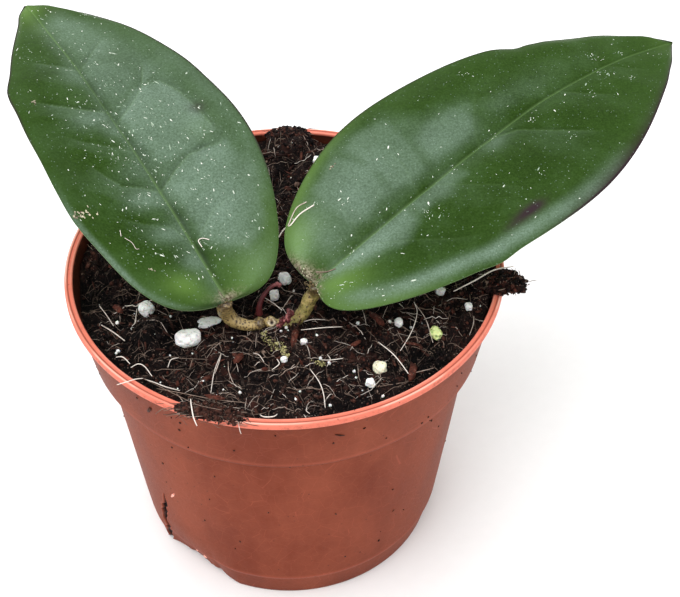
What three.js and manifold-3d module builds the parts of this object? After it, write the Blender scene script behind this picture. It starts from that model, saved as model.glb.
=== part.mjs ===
// A young hoya in a nine centimetre nursery pot. Two thick leaves stand on short corky petioles, which
// grow from a rooted stem in the potting mix, with two dark red new shoots and the larger perlite grains.
// Millimetres, +Z up. The origin is the centre of the pot's underside, and the front faces -Y.

import * as THREE from "three";
import { mergeVertices } from "three/addons/utils/BufferGeometryUtils.js";
import Module from "manifold-3d";

const wasm = await Module();
wasm.setup();

// Driving dimensions

const GAP = 0.3; // between pieces that touch
const ROUND = 60; // sides of the pot and of the potting mix

const POT = {
  height: 70,
  wall: 1.0,
  rimRadius: 45,
  rimWidth: 2.0,
  rimDepth: 1.5,
  rimRounding: 0.3,
  bandTopRadius: 44.0,
  bandFootRadius: 41.4,
  bandFootHeight: 53.5,
  bodyTopRadius: 39.2,
  footLineRadius: 33.8,
  footLineHeight: 7.4,
  footRadius: 32.1,
  footRingWidth: 3.2,
  discRadius: 19.5,
  channelDepth: 1.5,
  channelSlope: 0.6,
  floor: 1.2,
};

const DRAIN = { count: 8, radius: 2.8, circle: 24.2, sides: 14 };

const SOIL = {
  level: 67.6,
  edgeRadius: 42.35,
  topRings: 10,
  bottomRadius: 31.0,
  ripple: 0.3,
};

// Rises and hollows of the potting mix: where they lie, how far they reach, and how high they stand
const SWELLS = [
  { x: -26.5, y: -17.5, reach: 5.0, height: 2.0 }, // the clod between the two large grains
  { x: 1.5, y: 40.5, reach: 6.5, height: 2.6 }, // heaped against the back of the rim
  { x: 40.5, y: -8.5, reach: 6.0, height: 2.2 }, // heaped against the right of the rim
  { x: -13.5, y: -38.5, reach: 6.0, height: 1.6 }, // heaped where it spills at the front
  { x: -3.5, y: -15.5, reach: 6.0, height: 0.5 }, // round the stem
  { x: -3.5, y: -22.2, reach: 2.2, height: -1.5 }, // the small hole in front of the stem
  { x: -39.0, y: -4.0, reach: 8.0, height: -3.4 }, // sunk at the left wall
  { x: -31.0, y: 22.0, reach: 9.0, height: -1.8 },
  { x: 26.0, y: 24.0, reach: 9.0, height: 0.9 },
  { x: 8.0, y: 12.0, reach: 10.0, height: -0.8 },
];

// Lumps of mix that lie over the rim: middle, half sizes and turn about Z in degrees
const SPILLS = [
  { middle: [44.2, -9.0, 70.8], half: [5.4, 4.0, 1.4], turn: -12, seed: 2.1 },
  { middle: [1.6, 43.2, 70.5], half: [5.2, 2.8, 1.3], turn: 0, seed: 4.7 },
  { middle: [-13.6, -42.4, 70.7], half: [6.4, 3.2, 1.3], turn: -18, seed: 7.9 },
];

// Each leaf: the point where the blade begins, the turn about Z from +Y, the rise, the roll and the arch from
// base to tip, all in degrees, the sideways bow and swing of the midrib and the cup of the blade. Each side has
// its half width, the two exponents of its outline, how much fuller its lower half is, and its lobe at the base
const LEAVES = {
  leaf_left: {
    base: [-11.4, -19.2, 77.2],
    turn: 27.0,
    rise: 28.7,
    roll: 7.4,
    arch: 35.7,
    length: 93.4,
    bow: -2.1,
    swing: 0,
    cup: 3.0,
    left: { half: 21.0, base: 0.46, tip: 1.0, full: -0.07, lobe: 1.0 },
    right: { half: 24.1, base: 0.52, tip: 0.76, full: 0, lobe: 2.3 },
  },
  leaf_right: {
    base: [5.5, -15.8, 77.9],
    turn: -52.7,
    rise: 17.3,
    roll: 5.8,
    arch: 26.1,
    length: 107.7,
    bow: -1.7,
    swing: 1.0,
    cup: 0.8,
    left: { half: 23.3, base: 0.49, tip: 0.83, full: 0.05, lobe: 2.3 },
    right: { half: 26.3, base: 0.73, tip: 0.98, full: -0.05, lobe: 5.3 },
  },
};

const BLADE = {
  thickMiddle: 1.7,
  thickMargin: 0.8,
  thickBase: 2.4,
  baseStretch: 0.1, // share of the length over which the base thins
  cupReach: 25, // the cup is the rise of the blade this far from its midrib
  wave: 0.4, // the slow wave of the margins
  waves: 2.5,
  lobeAt: 0.055, // share of the length where the lobes beside the petiole are fullest
  rows: 24,
  columns: 10,
};

// The stem and what grew with it: points along the middle, and radii spread evenly along them
const STEM = {
  column: {
    points: [[-3.2, -17.0, 69.6], [-3.6, -16.4, 67.6], [-4.2, -15.6, 62], [-3.4, -14.6, 50], [-2.6, -14.0, 38]],
    radii: [1.05, 1.6, 1.7, 1.6, 1.2],
  },
  petioleLeft: {
    points: [
      [-3.4, -16.1, 68.3],
      [-7.3, -17.4, 68.9],
      [-10.2, -17.1, 69.8],
      [-11.7, -16.7, 71.6],
      [-12.05, -17.3, 73.6],
      [-12.1, -18.15, 74.8],
      [-11.85, -18.7, 75.6],
    ],
    radii: [1.5, 1.5, 1.6, 1.75, 1.85, 1.8, 1.6],
  },
  petioleRight: {
    points: [
      [-3.4, -16.2, 68.2],
      [0.8, -16.8, 69.2],
      [3.3, -15.7, 70.9],
      [4.6, -15.1, 73.2],
      [5.5, -15.1, 75.0],
      [5.65, -15.45, 76.15],
    ],
    radii: [1.5, 1.5, 1.65, 1.8, 1.8, 1.6],
  },
};

// Main roots: height where they leave the stem, heading in degrees, how far out they reach and how deep
const ROOTS = [
  { from: 54, heading: 20, reach: 19, depth: 24 },
  { from: 50, heading: 95, reach: 16, depth: 20 },
  { from: 46, heading: 165, reach: 18, depth: 27 },
  { from: 43, heading: 235, reach: 14, depth: 18 },
  { from: 40, heading: 310, reach: 16, depth: 22 },
];
const ROOT_RADII = [1.0, 0.8, 0.5];

const SHOOTS = {
  shoot_left: {
    points: [
      [-5.4, -15.1, 69.95],
      [-5.4, -14.9, 71.2],
      [-5.0, -14.4, 72.6],
      [-4.1, -13.7, 73.9],
      [-2.7, -12.6, 74.8],
      [-1.3, -12.3, 75.0],
    ],
    radii: [0.85, 0.62, 0.6, 0.58, 0.55, 0.45],
  },
  shoot_right: {
    points: [
      [-1.7, -18.25, 70.0],
      [-0.3, -18.2, 71.2],
      [0.9, -18.1, 72.5],
      [1.2, -17.9, 73.5],
      [0.1, -18.4, 74.0],
    ],
    radii: [0.75, 0.62, 0.58, 0.55, 0.5],
  },
};

// Perlite grains: where they lie, their width, depth and height, their turn about Z in degrees, and how
// far their middle stands over the mix
const GRAINS = [
  { x: -19.3, y: -20.4, size: [5.8, 4.4, 4.0], turn: 10, proud: 0.8 },
  { x: -27.9, y: -11.7, size: [3.5, 3.9, 4.2], turn: 60, proud: 0.7 },
  { x: -15.4, y: -15.4, size: [5.4, 3.0, 1.0], turn: 20, proud: 0.3 },
  { x: -2.3, y: -8.4, size: [2.5, 2.4, 2.6], turn: 0, proud: 0.5 },
  { x: -0.1, y: -3.7, size: [2.6, 3.4, 3.0], turn: 30, proud: 0.5 },
  { x: 22.1, y: -17.6, size: [2.0, 2.3, 2.3], turn: 0, proud: 0.5 },
  { x: 29.3, y: -20.8, size: [2.7, 3.3, 2.4], turn: 40, proud: 0.5 },
  { x: 17.6, y: -29.7, size: [3.1, 2.8, 2.4], turn: -20, proud: 0.4 },
  { x: 15.4, y: -33.6, size: [2.2, 2.1, 1.9], turn: 0, proud: 0.4 },
  { x: 31.4, y: -8.8, size: [2.2, 2.1, 2.0], turn: 50, proud: 0.4 },
  { x: 36.4, y: -14.4, size: [1.8, 1.9, 1.7], turn: 0, proud: 0.3 },
  { x: 3.2, y: -21.7, size: [1.6, 1.5, 1.5], turn: 0, proud: 0.3 },
  { x: -0.8, y: -26.2, size: [1.5, 1.4, 1.4], turn: 30, proud: 0.3 },
  { x: -33.0, y: -22.6, size: [1.7, 1.5, 1.5], turn: 0, proud: 0.3 },
  { x: -20.0, y: 12.0, size: [3.6, 3.0, 3.0], turn: 15, proud: 0.5 },
  { x: -7.0, y: 25.0, size: [2.7, 3.3, 2.6], turn: 70, proud: 0.5 },
  { x: 15.0, y: 6.0, size: [3.0, 2.6, 2.6], turn: -30, proud: 0.4 },
  { x: 25.0, y: 26.0, size: [4.0, 3.2, 3.2], turn: 25, proud: 0.6 },
  { x: 8.0, y: 34.0, size: [2.4, 2.2, 2.2], turn: 0, proud: 0.4 },
  { x: -26.0, y: 26.0, size: [2.9, 2.6, 2.4], turn: 45, proud: 0.4 },
];

// Materials

function material(colour, roughness) {
  return new THREE.MeshStandardMaterial({ color: colour, roughness, metalness: 0 });
}

const MATERIALS = {
  pot: material(0xb2604a, 0.55),
  soil: material(0x2b1f1a, 0.95),
  leaf: material(0x2f5a26, 0.35),
  stem: material(0x9a8a3c, 0.7),
  shoot: material(0x5e2226, 0.5),
  perlite: material(0xe6e4df, 0.9),
};

// Helpers

const radians = THREE.MathUtils.degToRad;

// The geometry as a solid that can be joined and cut
function solidOf(geometry) {
  const bare = geometry.clone();
  bare.deleteAttribute("normal");
  bare.deleteAttribute("uv");
  const merged = mergeVertices(bare, 1e-4);
  return new wasm.Manifold(
    new wasm.Mesh({
      numProp: 3,
      vertProperties: merged.attributes.position.array,
      triVerts: new Uint32Array(merged.index.array),
    }),
  );
}

function geometryOf(solid) {
  const mesh = solid.getMesh();
  const geometry = new THREE.BufferGeometry();
  geometry.setAttribute("position", new THREE.BufferAttribute(mesh.vertProperties, 3));
  geometry.setIndex(new THREE.BufferAttribute(mesh.triVerts, 1));
  geometry.computeVertexNormals();
  return geometry;
}

function geometryFrom(positions, index) {
  const geometry = new THREE.BufferGeometry();
  geometry.setAttribute("position", new THREE.Float32BufferAttribute(positions, 3));
  geometry.setIndex(index);
  geometry.computeVertexNormals();
  return geometry;
}

function meshOf(name, geometry, finish) {
  const mesh = new THREE.Mesh(geometry, finish);
  mesh.name = name;
  return mesh;
}

// A profile of [radius, height] points turned about Z
function turned(profile) {
  const points = profile.map(([r, z]) => new THREE.Vector2(r, z));
  const geometry = new THREE.LatheGeometry(points, ROUND);
  return geometry.rotateX(Math.PI / 2);
}

// A closed round tube along a smooth curve, each radius grown by the same amount
function taperedTube({ points, radii }, grow = 0, sides = 8, steps = 3 * points.length) {
  const curve = new THREE.CatmullRomCurve3(points.map((p) => new THREE.Vector3(...p)));
  const frames = curve.computeFrenetFrames(steps, false);
  const positions = [];
  const index = [];
  for (let i = 0; i <= steps; i += 1) {
    const along = (i / steps) * (radii.length - 1);
    const before = Math.min(Math.floor(along), radii.length - 2);
    const radius = grow + THREE.MathUtils.lerp(radii[before], radii[before + 1], along - before);
    const middle = curve.getPointAt(i / steps);
    for (let j = 0; j < sides; j += 1) {
      const angle = (2 * Math.PI * j) / sides;
      const point = middle
        .clone()
        .addScaledVector(frames.normals[i], radius * Math.cos(angle))
        .addScaledVector(frames.binormals[i], radius * Math.sin(angle));
      positions.push(...point.toArray());
    }
  }
  for (let i = 0; i < steps; i += 1) {
    for (let j = 0; j < sides; j += 1) {
      const a = i * sides + j;
      const b = i * sides + ((j + 1) % sides);
      index.push(a, b, a + sides, b, b + sides, a + sides);
    }
  }
  const first = positions.length / 3;
  const start = curve.getPointAt(0).addScaledVector(frames.tangents[0], -grow);
  const end = curve.getPointAt(1).addScaledVector(frames.tangents[steps], grow);
  positions.push(...start.toArray(), ...end.toArray());
  for (let j = 0; j < sides; j += 1) {
    const next = (j + 1) % sides;
    index.push(first, next, j);
    index.push(first + 1, steps * sides + j, steps * sides + next);
  }
  return geometryFrom(positions, index);
}

// A lump: a ball pushed in and out by slow waves, then stretched to its half sizes
function lump(half, seed, detail, roughness) {
  const geometry = new THREE.IcosahedronGeometry(1, detail);
  geometry.deleteAttribute("normal");
  geometry.deleteAttribute("uv");
  const ball = mergeVertices(geometry, 1e-4);
  const place = ball.attributes.position;
  const point = new THREE.Vector3();
  for (let i = 0; i < place.count; i += 1) {
    point.fromBufferAttribute(place, i);
    const swell =
      Math.sin(3.1 * point.x + 1.7 * seed) * Math.cos(2.7 * point.y - seed) +
      0.6 * Math.sin(5.3 * point.z + 4.1 * point.x + 2.3 * seed);
    point.multiplyScalar(1 + roughness * swell).multiply(new THREE.Vector3(...half));
    place.setXYZ(i, ...point.toArray());
  }
  return ball;
}

// Pot

function potWallRadius(height) {
  const rise = (height - POT.bandFootHeight) / (POT.height - POT.rimDepth - POT.bandFootHeight);
  return THREE.MathUtils.lerp(POT.bandFootRadius, POT.bandTopRadius, rise) - POT.wall;
}

function potProfile() {
  const under = POT.height - POT.rimDepth;
  const round = POT.rimRounding;
  const ringInside = POT.footRadius - POT.footRingWidth;
  const floorTop = POT.channelDepth + POT.floor;
  return [
    [0, 0],
    [POT.discRadius, 0],
    [POT.discRadius + POT.channelSlope, POT.channelDepth],
    [ringInside - POT.channelSlope, POT.channelDepth],
    [ringInside, 0],
    [POT.footRadius - round, 0],
    [POT.footRadius, round],
    [POT.footLineRadius, POT.footLineHeight],
    [POT.bodyTopRadius, POT.bandFootHeight],
    [POT.bandFootRadius, POT.bandFootHeight],
    [POT.bandTopRadius, under],
    [POT.rimRadius - round, under],
    [POT.rimRadius, under + round],
    [POT.rimRadius, POT.height - round],
    [POT.rimRadius - round, POT.height],
    [POT.rimRadius - POT.rimWidth + round, POT.height],
    [POT.rimRadius - POT.rimWidth, POT.height - round],
    [potWallRadius(under - 1), under - 1],
    [potWallRadius(POT.bandFootHeight + 1), POT.bandFootHeight + 1],
    [POT.bodyTopRadius - POT.wall, POT.bandFootHeight],
    [POT.footLineRadius - POT.wall, POT.footLineHeight],
    [POT.footRadius - POT.wall, floorTop],
    [POT.discRadius - POT.channelSlope, floorTop],
    [POT.discRadius - 2 * POT.channelSlope, POT.floor],
    [0, POT.floor],
  ];
}

function potGeometry() {
  let pot = solidOf(turned(potProfile()));
  const deep = 4 * POT.floor + POT.channelDepth;
  for (let i = 0; i < DRAIN.count; i += 1) {
    const angle = (2 * Math.PI * (i + 0.5)) / DRAIN.count;
    const hole = new THREE.CylinderGeometry(DRAIN.radius, DRAIN.radius, deep, DRAIN.sides);
    hole.rotateX(Math.PI / 2);
    hole.translate(DRAIN.circle * Math.cos(angle), DRAIN.circle * Math.sin(angle), POT.channelDepth);
    pot = pot.subtract(solidOf(hole));
  }
  return geometryOf(pot);
}

// Potting mix

function soilHeight(x, y) {
  let height = SOIL.level;
  for (const swell of SWELLS) {
    const away = ((x - swell.x) ** 2 + (y - swell.y) ** 2) / swell.reach ** 2;
    height += swell.height * Math.exp(-away);
  }
  height += SOIL.ripple * Math.sin(0.55 * x + 0.9) * Math.cos(0.48 * y - 0.4);
  height += SOIL.ripple * Math.sin(0.95 * x - 0.7 * y);
  return height;
}

// The mix that fills the pot: a turned plug, whose top rings are then lifted to the ground's height
function soilPlug() {
  const floorTop = POT.channelDepth + POT.floor + GAP;
  const inset = POT.wall + GAP;
  const profile = [
    [0, floorTop],
    [SOIL.bottomRadius - GAP, floorTop],
    [POT.footLineRadius - inset, POT.footLineHeight + GAP],
    [POT.bodyTopRadius - inset, POT.bandFootHeight + GAP],
    [potWallRadius(POT.bandFootHeight + 2) - GAP, POT.bandFootHeight + 2],
  ];
  for (let i = 0; i <= SOIL.topRings; i += 1) {
    profile.push([SOIL.edgeRadius * (1 - i / SOIL.topRings), SOIL.level]);
  }
  const geometry = turned(profile);
  const place = geometry.attributes.position;
  for (let i = 0; i < place.count; i += 1) {
    if (place.getZ(i) > SOIL.level - GAP) {
      place.setZ(i, soilHeight(place.getX(i), place.getY(i)));
    }
  }
  return solidOf(geometry);
}

// The pot's upper wall and rim with the gap added, to cut the spilled lumps clear of it
function rimClearance() {
  const low = POT.bandFootHeight + 3;
  const top = POT.height + GAP;
  return solidOf(
    turned([
      [potWallRadius(low) - GAP, low],
      [POT.rimRadius + GAP, low],
      [POT.rimRadius + GAP, top],
      [POT.rimRadius - POT.rimWidth - GAP, top],
      [potWallRadius(POT.height - POT.rimDepth) - GAP, POT.height - 2 * POT.rimDepth],
      [potWallRadius(low) - GAP, low],
    ]),
  );
}

function spill({ middle, half, turn, seed }) {
  const geometry = lump(half, seed, 2, 0.12);
  return solidOf(geometry.rotateZ(radians(turn)).translate(...middle));
}

function soilGeometry() {
  const lumps = SPILLS.map(spill).reduce((sum, one) => sum.add(one));
  let soil = soilPlug().add(lumps.subtract(rimClearance()));
  soil = soil.subtract(stemSolid(GAP));
  for (const [i, grain] of GRAINS.entries()) {
    soil = soil.subtract(solidOf(grainGeometry(grain, i, GAP)));
  }
  const [largest] = soil.decompose().sort((a, b) => b.volume() - a.volume());
  return geometryOf(largest);
}

// Stem, petioles and roots, grown as one

function rootPath({ from, heading, reach, depth }) {
  const angle = radians(heading);
  const start = new THREE.Vector3(-3.0, -14.3, from);
  const out = (share, drop) => [
    start.x + share * reach * Math.cos(angle),
    start.y + share * reach * Math.sin(angle),
    start.z - drop * depth,
  ];
  return { points: [out(0, 0), out(0.5, 0.25), out(1, 1)], radii: ROOT_RADII };
}

function stemSolid(grow) {
  const grown = Object.values(STEM).map((limb) => solidOf(taperedTube(limb, grow)));
  const roots = ROOTS.map((root) => solidOf(taperedTube(rootPath(root), grow, 6, 5)));
  return [...grown, ...roots].reduce((sum, one) => sum.add(one));
}

// Leaves

// Half width of one side at a share of the length: a rounded base and a drawn tip
function outline(along, side) {
  const widest = side.base / (side.base + side.tip);
  const arc = (along / widest) ** side.base * ((1 - along) / (1 - widest)) ** side.tip;
  return side.half * arc * (1 + side.full * Math.sin(2 * Math.PI * along));
}

// A point of the blade's middle sheet: the midrib is an arc, and the blade cups up to its waved margins
function bladePoint(leaf, along, across) {
  const side = across < 0 ? leaf.left : leaf.right;
  const arch = radians(leaf.arch);
  const off = across * outline(along, side);
  const lift =
    leaf.cup * (off / BLADE.cupReach) ** 2 +
    BLADE.wave * across ** 2 * Math.sin(2 * Math.PI * BLADE.waves * along + 2 * Math.sign(across));
  const angle = arch * along;
  const lobe = side.lobe * across ** 2 * (along / BLADE.lobeAt) * Math.exp(1 - along / BLADE.lobeAt);
  const bend = 4 * leaf.bow * along * (1 - along) + leaf.swing * Math.sin(2 * Math.PI * along);
  const point = new THREE.Vector3(
    off + bend,
    (leaf.length * Math.sin(angle)) / arch + lift * Math.sin(angle) - lobe,
    (-leaf.length * (1 - Math.cos(angle))) / arch + lift * Math.cos(angle),
  );
  const normal = new THREE.Vector3(0, Math.sin(angle), Math.cos(angle));
  return { point, normal };
}

function bladeThickness(along, across) {
  const body = BLADE.thickMargin + (BLADE.thickMiddle - BLADE.thickMargin) * (1 - across ** 2);
  const base = Math.max(0, 1 - along / BLADE.baseStretch);
  return body + (BLADE.thickBase - BLADE.thickMiddle) * base ** 2;
}

// The blade as one closed skin: a grid on the upper face, the same grid below, and a strip round the margin.
// The first and last rows are single points.
function bladeGeometry(leaf) {
  const { rows, columns } = BLADE;
  const positions = [];
  const index = [];
  const ids = [];
  for (const face of [1, -1]) {
    for (let i = 0; i <= rows; i += 1) {
      const along = (1 - Math.cos((Math.PI * i) / rows)) / 2;
      const pole = i === 0 || i === rows;
      const row = [];
      for (let j = 0; j <= columns; j += 1) {
        if (pole && j > 0) {
          row.push(row[0]);
          continue;
        }
        const across = pole ? 0 : (2 * j) / columns - 1;
        const { point, normal } = bladePoint(leaf, along, across);
        point.addScaledVector(normal, (face * bladeThickness(along, across)) / 2);
        row.push(positions.length / 3);
        positions.push(...point.toArray());
      }
      ids.push(row);
    }
  }
  const quad = (a, b, c, d) => {
    if (a !== b && b !== c && a !== c) index.push(a, b, c);
    if (a !== c && c !== d && a !== d) index.push(a, c, d);
  };
  for (let i = 0; i < rows; i += 1) {
    const [near, far] = [ids[i], ids[i + 1]];
    const [nearBelow, farBelow] = [ids[rows + 1 + i], ids[rows + 2 + i]];
    for (let j = 0; j < columns; j += 1) {
      quad(near[j], near[j + 1], far[j + 1], far[j]);
      quad(nearBelow[j], farBelow[j], farBelow[j + 1], nearBelow[j + 1]);
    }
    quad(near[0], far[0], farBelow[0], nearBelow[0]);
    quad(near[columns], nearBelow[columns], farBelow[columns], far[columns]);
  }
  return geometryFrom(positions, index);
}

function leafMesh(name, leaf) {
  const mesh = meshOf(name, bladeGeometry(leaf), MATERIALS.leaf);
  mesh.position.set(...leaf.base);
  mesh.rotation.set(radians(leaf.rise), radians(leaf.roll), radians(leaf.turn), "ZXY");
  return mesh;
}

// Perlite

function grainGeometry({ x, y, size, turn, proud }, i, grow = 0) {
  const half = size.map((s) => s / 2 + grow);
  const detail = size[0] > 4 ? 2 : 1;
  return lump(half, i, detail, 0.08)
    .rotateZ(radians(turn))
    .translate(x, y, soilHeight(x, y) + proud);
}

// Assembly

const plant = new THREE.Group();
plant.add(meshOf("pot", potGeometry(), MATERIALS.pot));
plant.add(meshOf("potting_mix", soilGeometry(), MATERIALS.soil));
plant.add(meshOf("stem", geometryOf(stemSolid(0)), MATERIALS.stem));
for (const [name, leaf] of Object.entries(LEAVES)) plant.add(leafMesh(name, leaf));
for (const [name, shoot] of Object.entries(SHOOTS)) {
  plant.add(meshOf(name, taperedTube(shoot, 0, 6), MATERIALS.shoot));
}
for (const [i, grain] of GRAINS.entries()) {
  const name = "perlite_" + String(i + 1).padStart(2, "0");
  plant.add(meshOf(name, grainGeometry(grain, i), MATERIALS.perlite));
}

export default plant;
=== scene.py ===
"""A young hoya with two leaves, rooted in a terracotta-coloured plastic pot 90 mm across.

Lengths in the tables are millimetres in the part's own frame: z is up from the surface that the pot
stands on, and the pot's axis is x = y = 0. Angles are degrees, measured about the axis from +x.
"""

import bpy
import numpy as np
from mathutils import Euler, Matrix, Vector


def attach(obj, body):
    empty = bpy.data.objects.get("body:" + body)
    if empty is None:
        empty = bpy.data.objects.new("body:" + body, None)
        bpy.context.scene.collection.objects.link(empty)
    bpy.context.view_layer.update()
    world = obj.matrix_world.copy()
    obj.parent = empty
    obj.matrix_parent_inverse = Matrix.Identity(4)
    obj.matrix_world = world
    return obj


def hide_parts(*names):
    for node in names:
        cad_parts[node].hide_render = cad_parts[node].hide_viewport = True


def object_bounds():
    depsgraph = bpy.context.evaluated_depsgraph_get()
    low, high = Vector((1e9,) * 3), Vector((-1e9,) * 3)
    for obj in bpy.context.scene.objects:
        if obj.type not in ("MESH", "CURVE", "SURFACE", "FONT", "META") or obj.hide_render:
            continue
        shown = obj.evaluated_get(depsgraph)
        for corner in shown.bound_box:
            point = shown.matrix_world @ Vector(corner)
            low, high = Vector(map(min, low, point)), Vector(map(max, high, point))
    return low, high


bl_info = {
    "name": "Potted hoya",
    "version": (1, 0, 0),
    "blender": (4, 5, 0),
    "location": "View3D > Sidebar > Hoya",
    "description": "Makes the pot, the potting mix, the stem and the leaves of a young hoya",
    "category": "Object",
}

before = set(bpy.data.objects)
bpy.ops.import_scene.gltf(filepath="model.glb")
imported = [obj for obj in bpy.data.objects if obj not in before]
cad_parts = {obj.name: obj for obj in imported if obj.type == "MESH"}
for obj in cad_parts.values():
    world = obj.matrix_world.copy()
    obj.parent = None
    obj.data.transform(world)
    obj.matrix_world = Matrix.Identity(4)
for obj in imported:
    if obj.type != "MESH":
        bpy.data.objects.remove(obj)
CAD_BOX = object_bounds()
MM = 0.001
BODY = "root"

# Camera

CAMERA_PLACE = (0.0, -228.6, 277.15)
CAMERA_TURN = (46.34, 0.02, -2.86)
CAMERA_LENS = 79.41
CAMERA_SENSOR = 36.0

# Pot, the same measures as its solid

WALL = 1.0
BAND_FOOT = 53.5
FOOT_LINE = 7.4
BAND_FOOT_RADIUS = 41.4
BAND_TOP_RADIUS = 44.0
BAND_TOP = 68.5
RIM_RADIUS = 45.0
RIM_TOP = 70.0
HOLE_COUNT = 8
HOLE_RADIUS = 2.8
HOLE_CIRCLE = 24.2
DISC_RADIUS = 19.5
CHANNEL_DEPTH = 1.5
FLOOR_TOP = 2.7
PLATE_OUTER = 28.45
PLATE_INNER = 20.15
# Corners of the pot's section, as radius and height: the outside from the foot to under the band's edge
OUTSIDE = (
    (28.9, 0.0), (31.7, 0.0), (31.95, 0.08), (32.12, 0.3), (33.62, 6.9), (33.86, 7.25), (33.9, 7.55),
    (39.16, 52.9), (39.3, 53.25), (39.65, 53.45), (40.95, 53.5), (41.25, 53.58), (41.42, 53.9),
)
# The band's top and the lip, with the shallow groove round it
LIP = (
    (43.88, 67.9), (44.02, 68.35), (44.3, 68.5), (44.72, 68.5), (44.93, 68.58), (45.0, 68.8),
    (45.0, 69.6), (44.93, 69.88), (44.7, 70.0), (44.45, 69.99), (44.36, 69.88), (44.24, 69.88),
    (44.15, 69.99), (43.6, 70.0), (43.4, 69.92), (43.32, 69.7), (43.27, 69.0),
)
# The middle disc of the floor, from below to above
DISC = ((0.6, 0.0), (19.5, 0.0), (20.1, 1.5), (20.3, FLOOR_TOP), (18.9, FLOOR_TOP), (18.3, 1.2), (0.6, 1.2))
WALL_COLUMNS = 440
ARC_STEPS = 14
SIDE_STEPS = 8
SKIN_ROWS = 5
# The crack in the wall: (angle, height) from its upper end down, and the half width there
CRACK = (
    (219.9, 24.6), (219.3, 21.5), (217.4, 18.6), (215.6, 15.4), (214.6, 13.0), (214.9, 9.6), (212.6, 5.2),
    (209.6, 0.0),
)
CRACK_HALF = (0.12, 0.42, 0.66, 0.80, 0.52, 0.34, 0.62, 0.52)
CRACK_DEPTH = 0.8
CRACK_FLARE = 0.35
# How far the foot is chipped upwards and pushed in: (angle, share of the most)
CHIP = (
    (211.0, 0.0), (214.1, 0.35), (219.0, 0.75), (223.6, 1.0), (230.0, 0.98), (237.1, 0.85), (241.5, 0.35),
    (247.0, 0.0),
)
CHIP_RISE = 1.2
CHIP_PUSH = 1.5
CHIP_SEED = 61
# Splashes of dirt on the wall: (angle, height, length, width, turn from upright)
WALL_DIRT = (
    (231.2, 63.0, 3.4, 0.75, 28), (237.0, 67.4, 0.9, 0.6, 80), (227.6, 64.8, 0.7, 0.5, 10),
    (241.0, 63.6, 0.6, 0.5, 0), (240.0, 60.7, 0.55, 0.5, 0), (231.8, 48.1, 0.6, 0.45, 20),
    (224.9, 38.8, 0.7, 0.5, 40), (308.4, 55.2, 0.6, 0.5, 0), (317.9, 48.3, 0.6, 0.5, 30),
    (324.1, 42.3, 0.5, 0.4, 0), (280.8, 61.0, 0.5, 0.4, 0), (271.0, 52.7, 1.1, 0.35, 75),
    (269.4, 50.9, 0.5, 0.4, 0), (282.4, 63.4, 2.6, 0.3, -62), (301.8, 13.7, 0.7, 0.5, 10),
    (288.2, 13.0, 0.6, 0.4, 0), (238.5, 24.7, 0.5, 0.4, 0), (306.6, 23.0, 0.6, 0.45, 60),
    (246.0, 44.0, 0.45, 0.4, 0), (262.0, 34.0, 0.45, 0.35, 0), (255.0, 58.6, 0.5, 0.35, 70),
    (296.0, 57.0, 0.5, 0.3, 50), (333.0, 60.0, 0.6, 0.4, 0), (205.0, 57.0, 0.6, 0.4, 0),
    (270.2, 52.2, 0.8, 0.7, 20), (310.5, 56.0, 0.5, 0.35, 60), (314.6, 52.6, 0.9, 0.3, 50),
    (312.2, 53.6, 0.5, 0.4, 0),
)
# Slivers of torn plastic, told like the dirt
WALL_SLIVERS = ((225.4, 27.4, 2.8, 0.6, 30), (231.0, 3.6, 1.3, 0.9, 60), (227.0, 4.4, 0.8, 0.6, 20))
WALL_SEED = 11

# Potting mix, the same ground as its solid

SOIL_LEVEL = 67.6
SOIL_EDGE = 42.35
SOIL_TOP_EDGE = 42.6
SOIL_RIPPLE = 0.3
SWELLS = (
    (-26.2, -17.6, 4.2, 3.2), (1.5, 40.5, 6.5, 2.6), (40.5, -8.5, 6.0, 2.2), (-13.5, -38.5, 6.0, 1.6),
    (-3.5, -15.5, 6.0, 0.5), (-3.5, -22.2, 2.2, -1.5), (-39.0, -4.0, 8.0, -3.4), (-31.0, 22.0, 9.0, -1.8),
    (26.0, 24.0, 9.0, 0.9), (8.0, 12.0, 10.0, -0.8),
)
# The mix inside the pot, as radius and height, up to where it follows the band
MIX_SIDE = ((30.7, 3.0), (32.5, 7.7), (35.2, 30.0), (37.8, 53.7))
MIX_COLUMNS = 400
# Dark patches, where the ground, its crumbs and its fibres are all darker: middle and reach
DARK_PATCHES = (
    (-26.2, -17.8, 5.6), (28.0, -27.5, 4.5), (8.0, -3.0, 6.0), (-38.0, -4.0, 6.0), (-12.0, -9.0, 5.0),
    (10.0, -12.5, 3.5),
)
# Mix spilled over the rim: middle, half sizes and turn. The clods are flatter than their solids, which need
# some thickness above the lip
SPILLS = (
    ((43.6, -9.2, 70.5), (4.9, 3.3, 1.25), -12),
    ((1.8, 42.9, 69.6), (4.6, 2.4, 1.0), 0),
    ((-14.4, -41.1, 69.8), (6.6, 2.1, 0.85), -15),
)
SPILLED_CRUMBS = 260
# Chips of bark that stand out: both ends and the width
BARK_CHIPS = (
    ((1.9, -18.1, 68.3), (0.8, -23.6, 68.0), 1.7), ((16.2, -14.0, 68.2), (19.5, -18.6, 68.2), 1.9),
    ((24.6, -28.6, 68.1), (22.8, -33.6, 68.1), 1.8), ((-8.8, -24.6, 68.2), (-10.6, -27.6, 68.3), 1.6),
    ((-14.8, -30.6, 68.6), (-17.2, -33.4, 68.8), 1.5), ((-32.6, -12.2, 68.2), (-34.8, -8.8, 67.4), 1.6),
    ((-16.0, -38.4, 71.5), (-11.8, -39.6, 71.5), 1.3), ((12.0, -24.0, 68.1), (14.6, -22.2, 68.2), 1.2),
)
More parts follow.
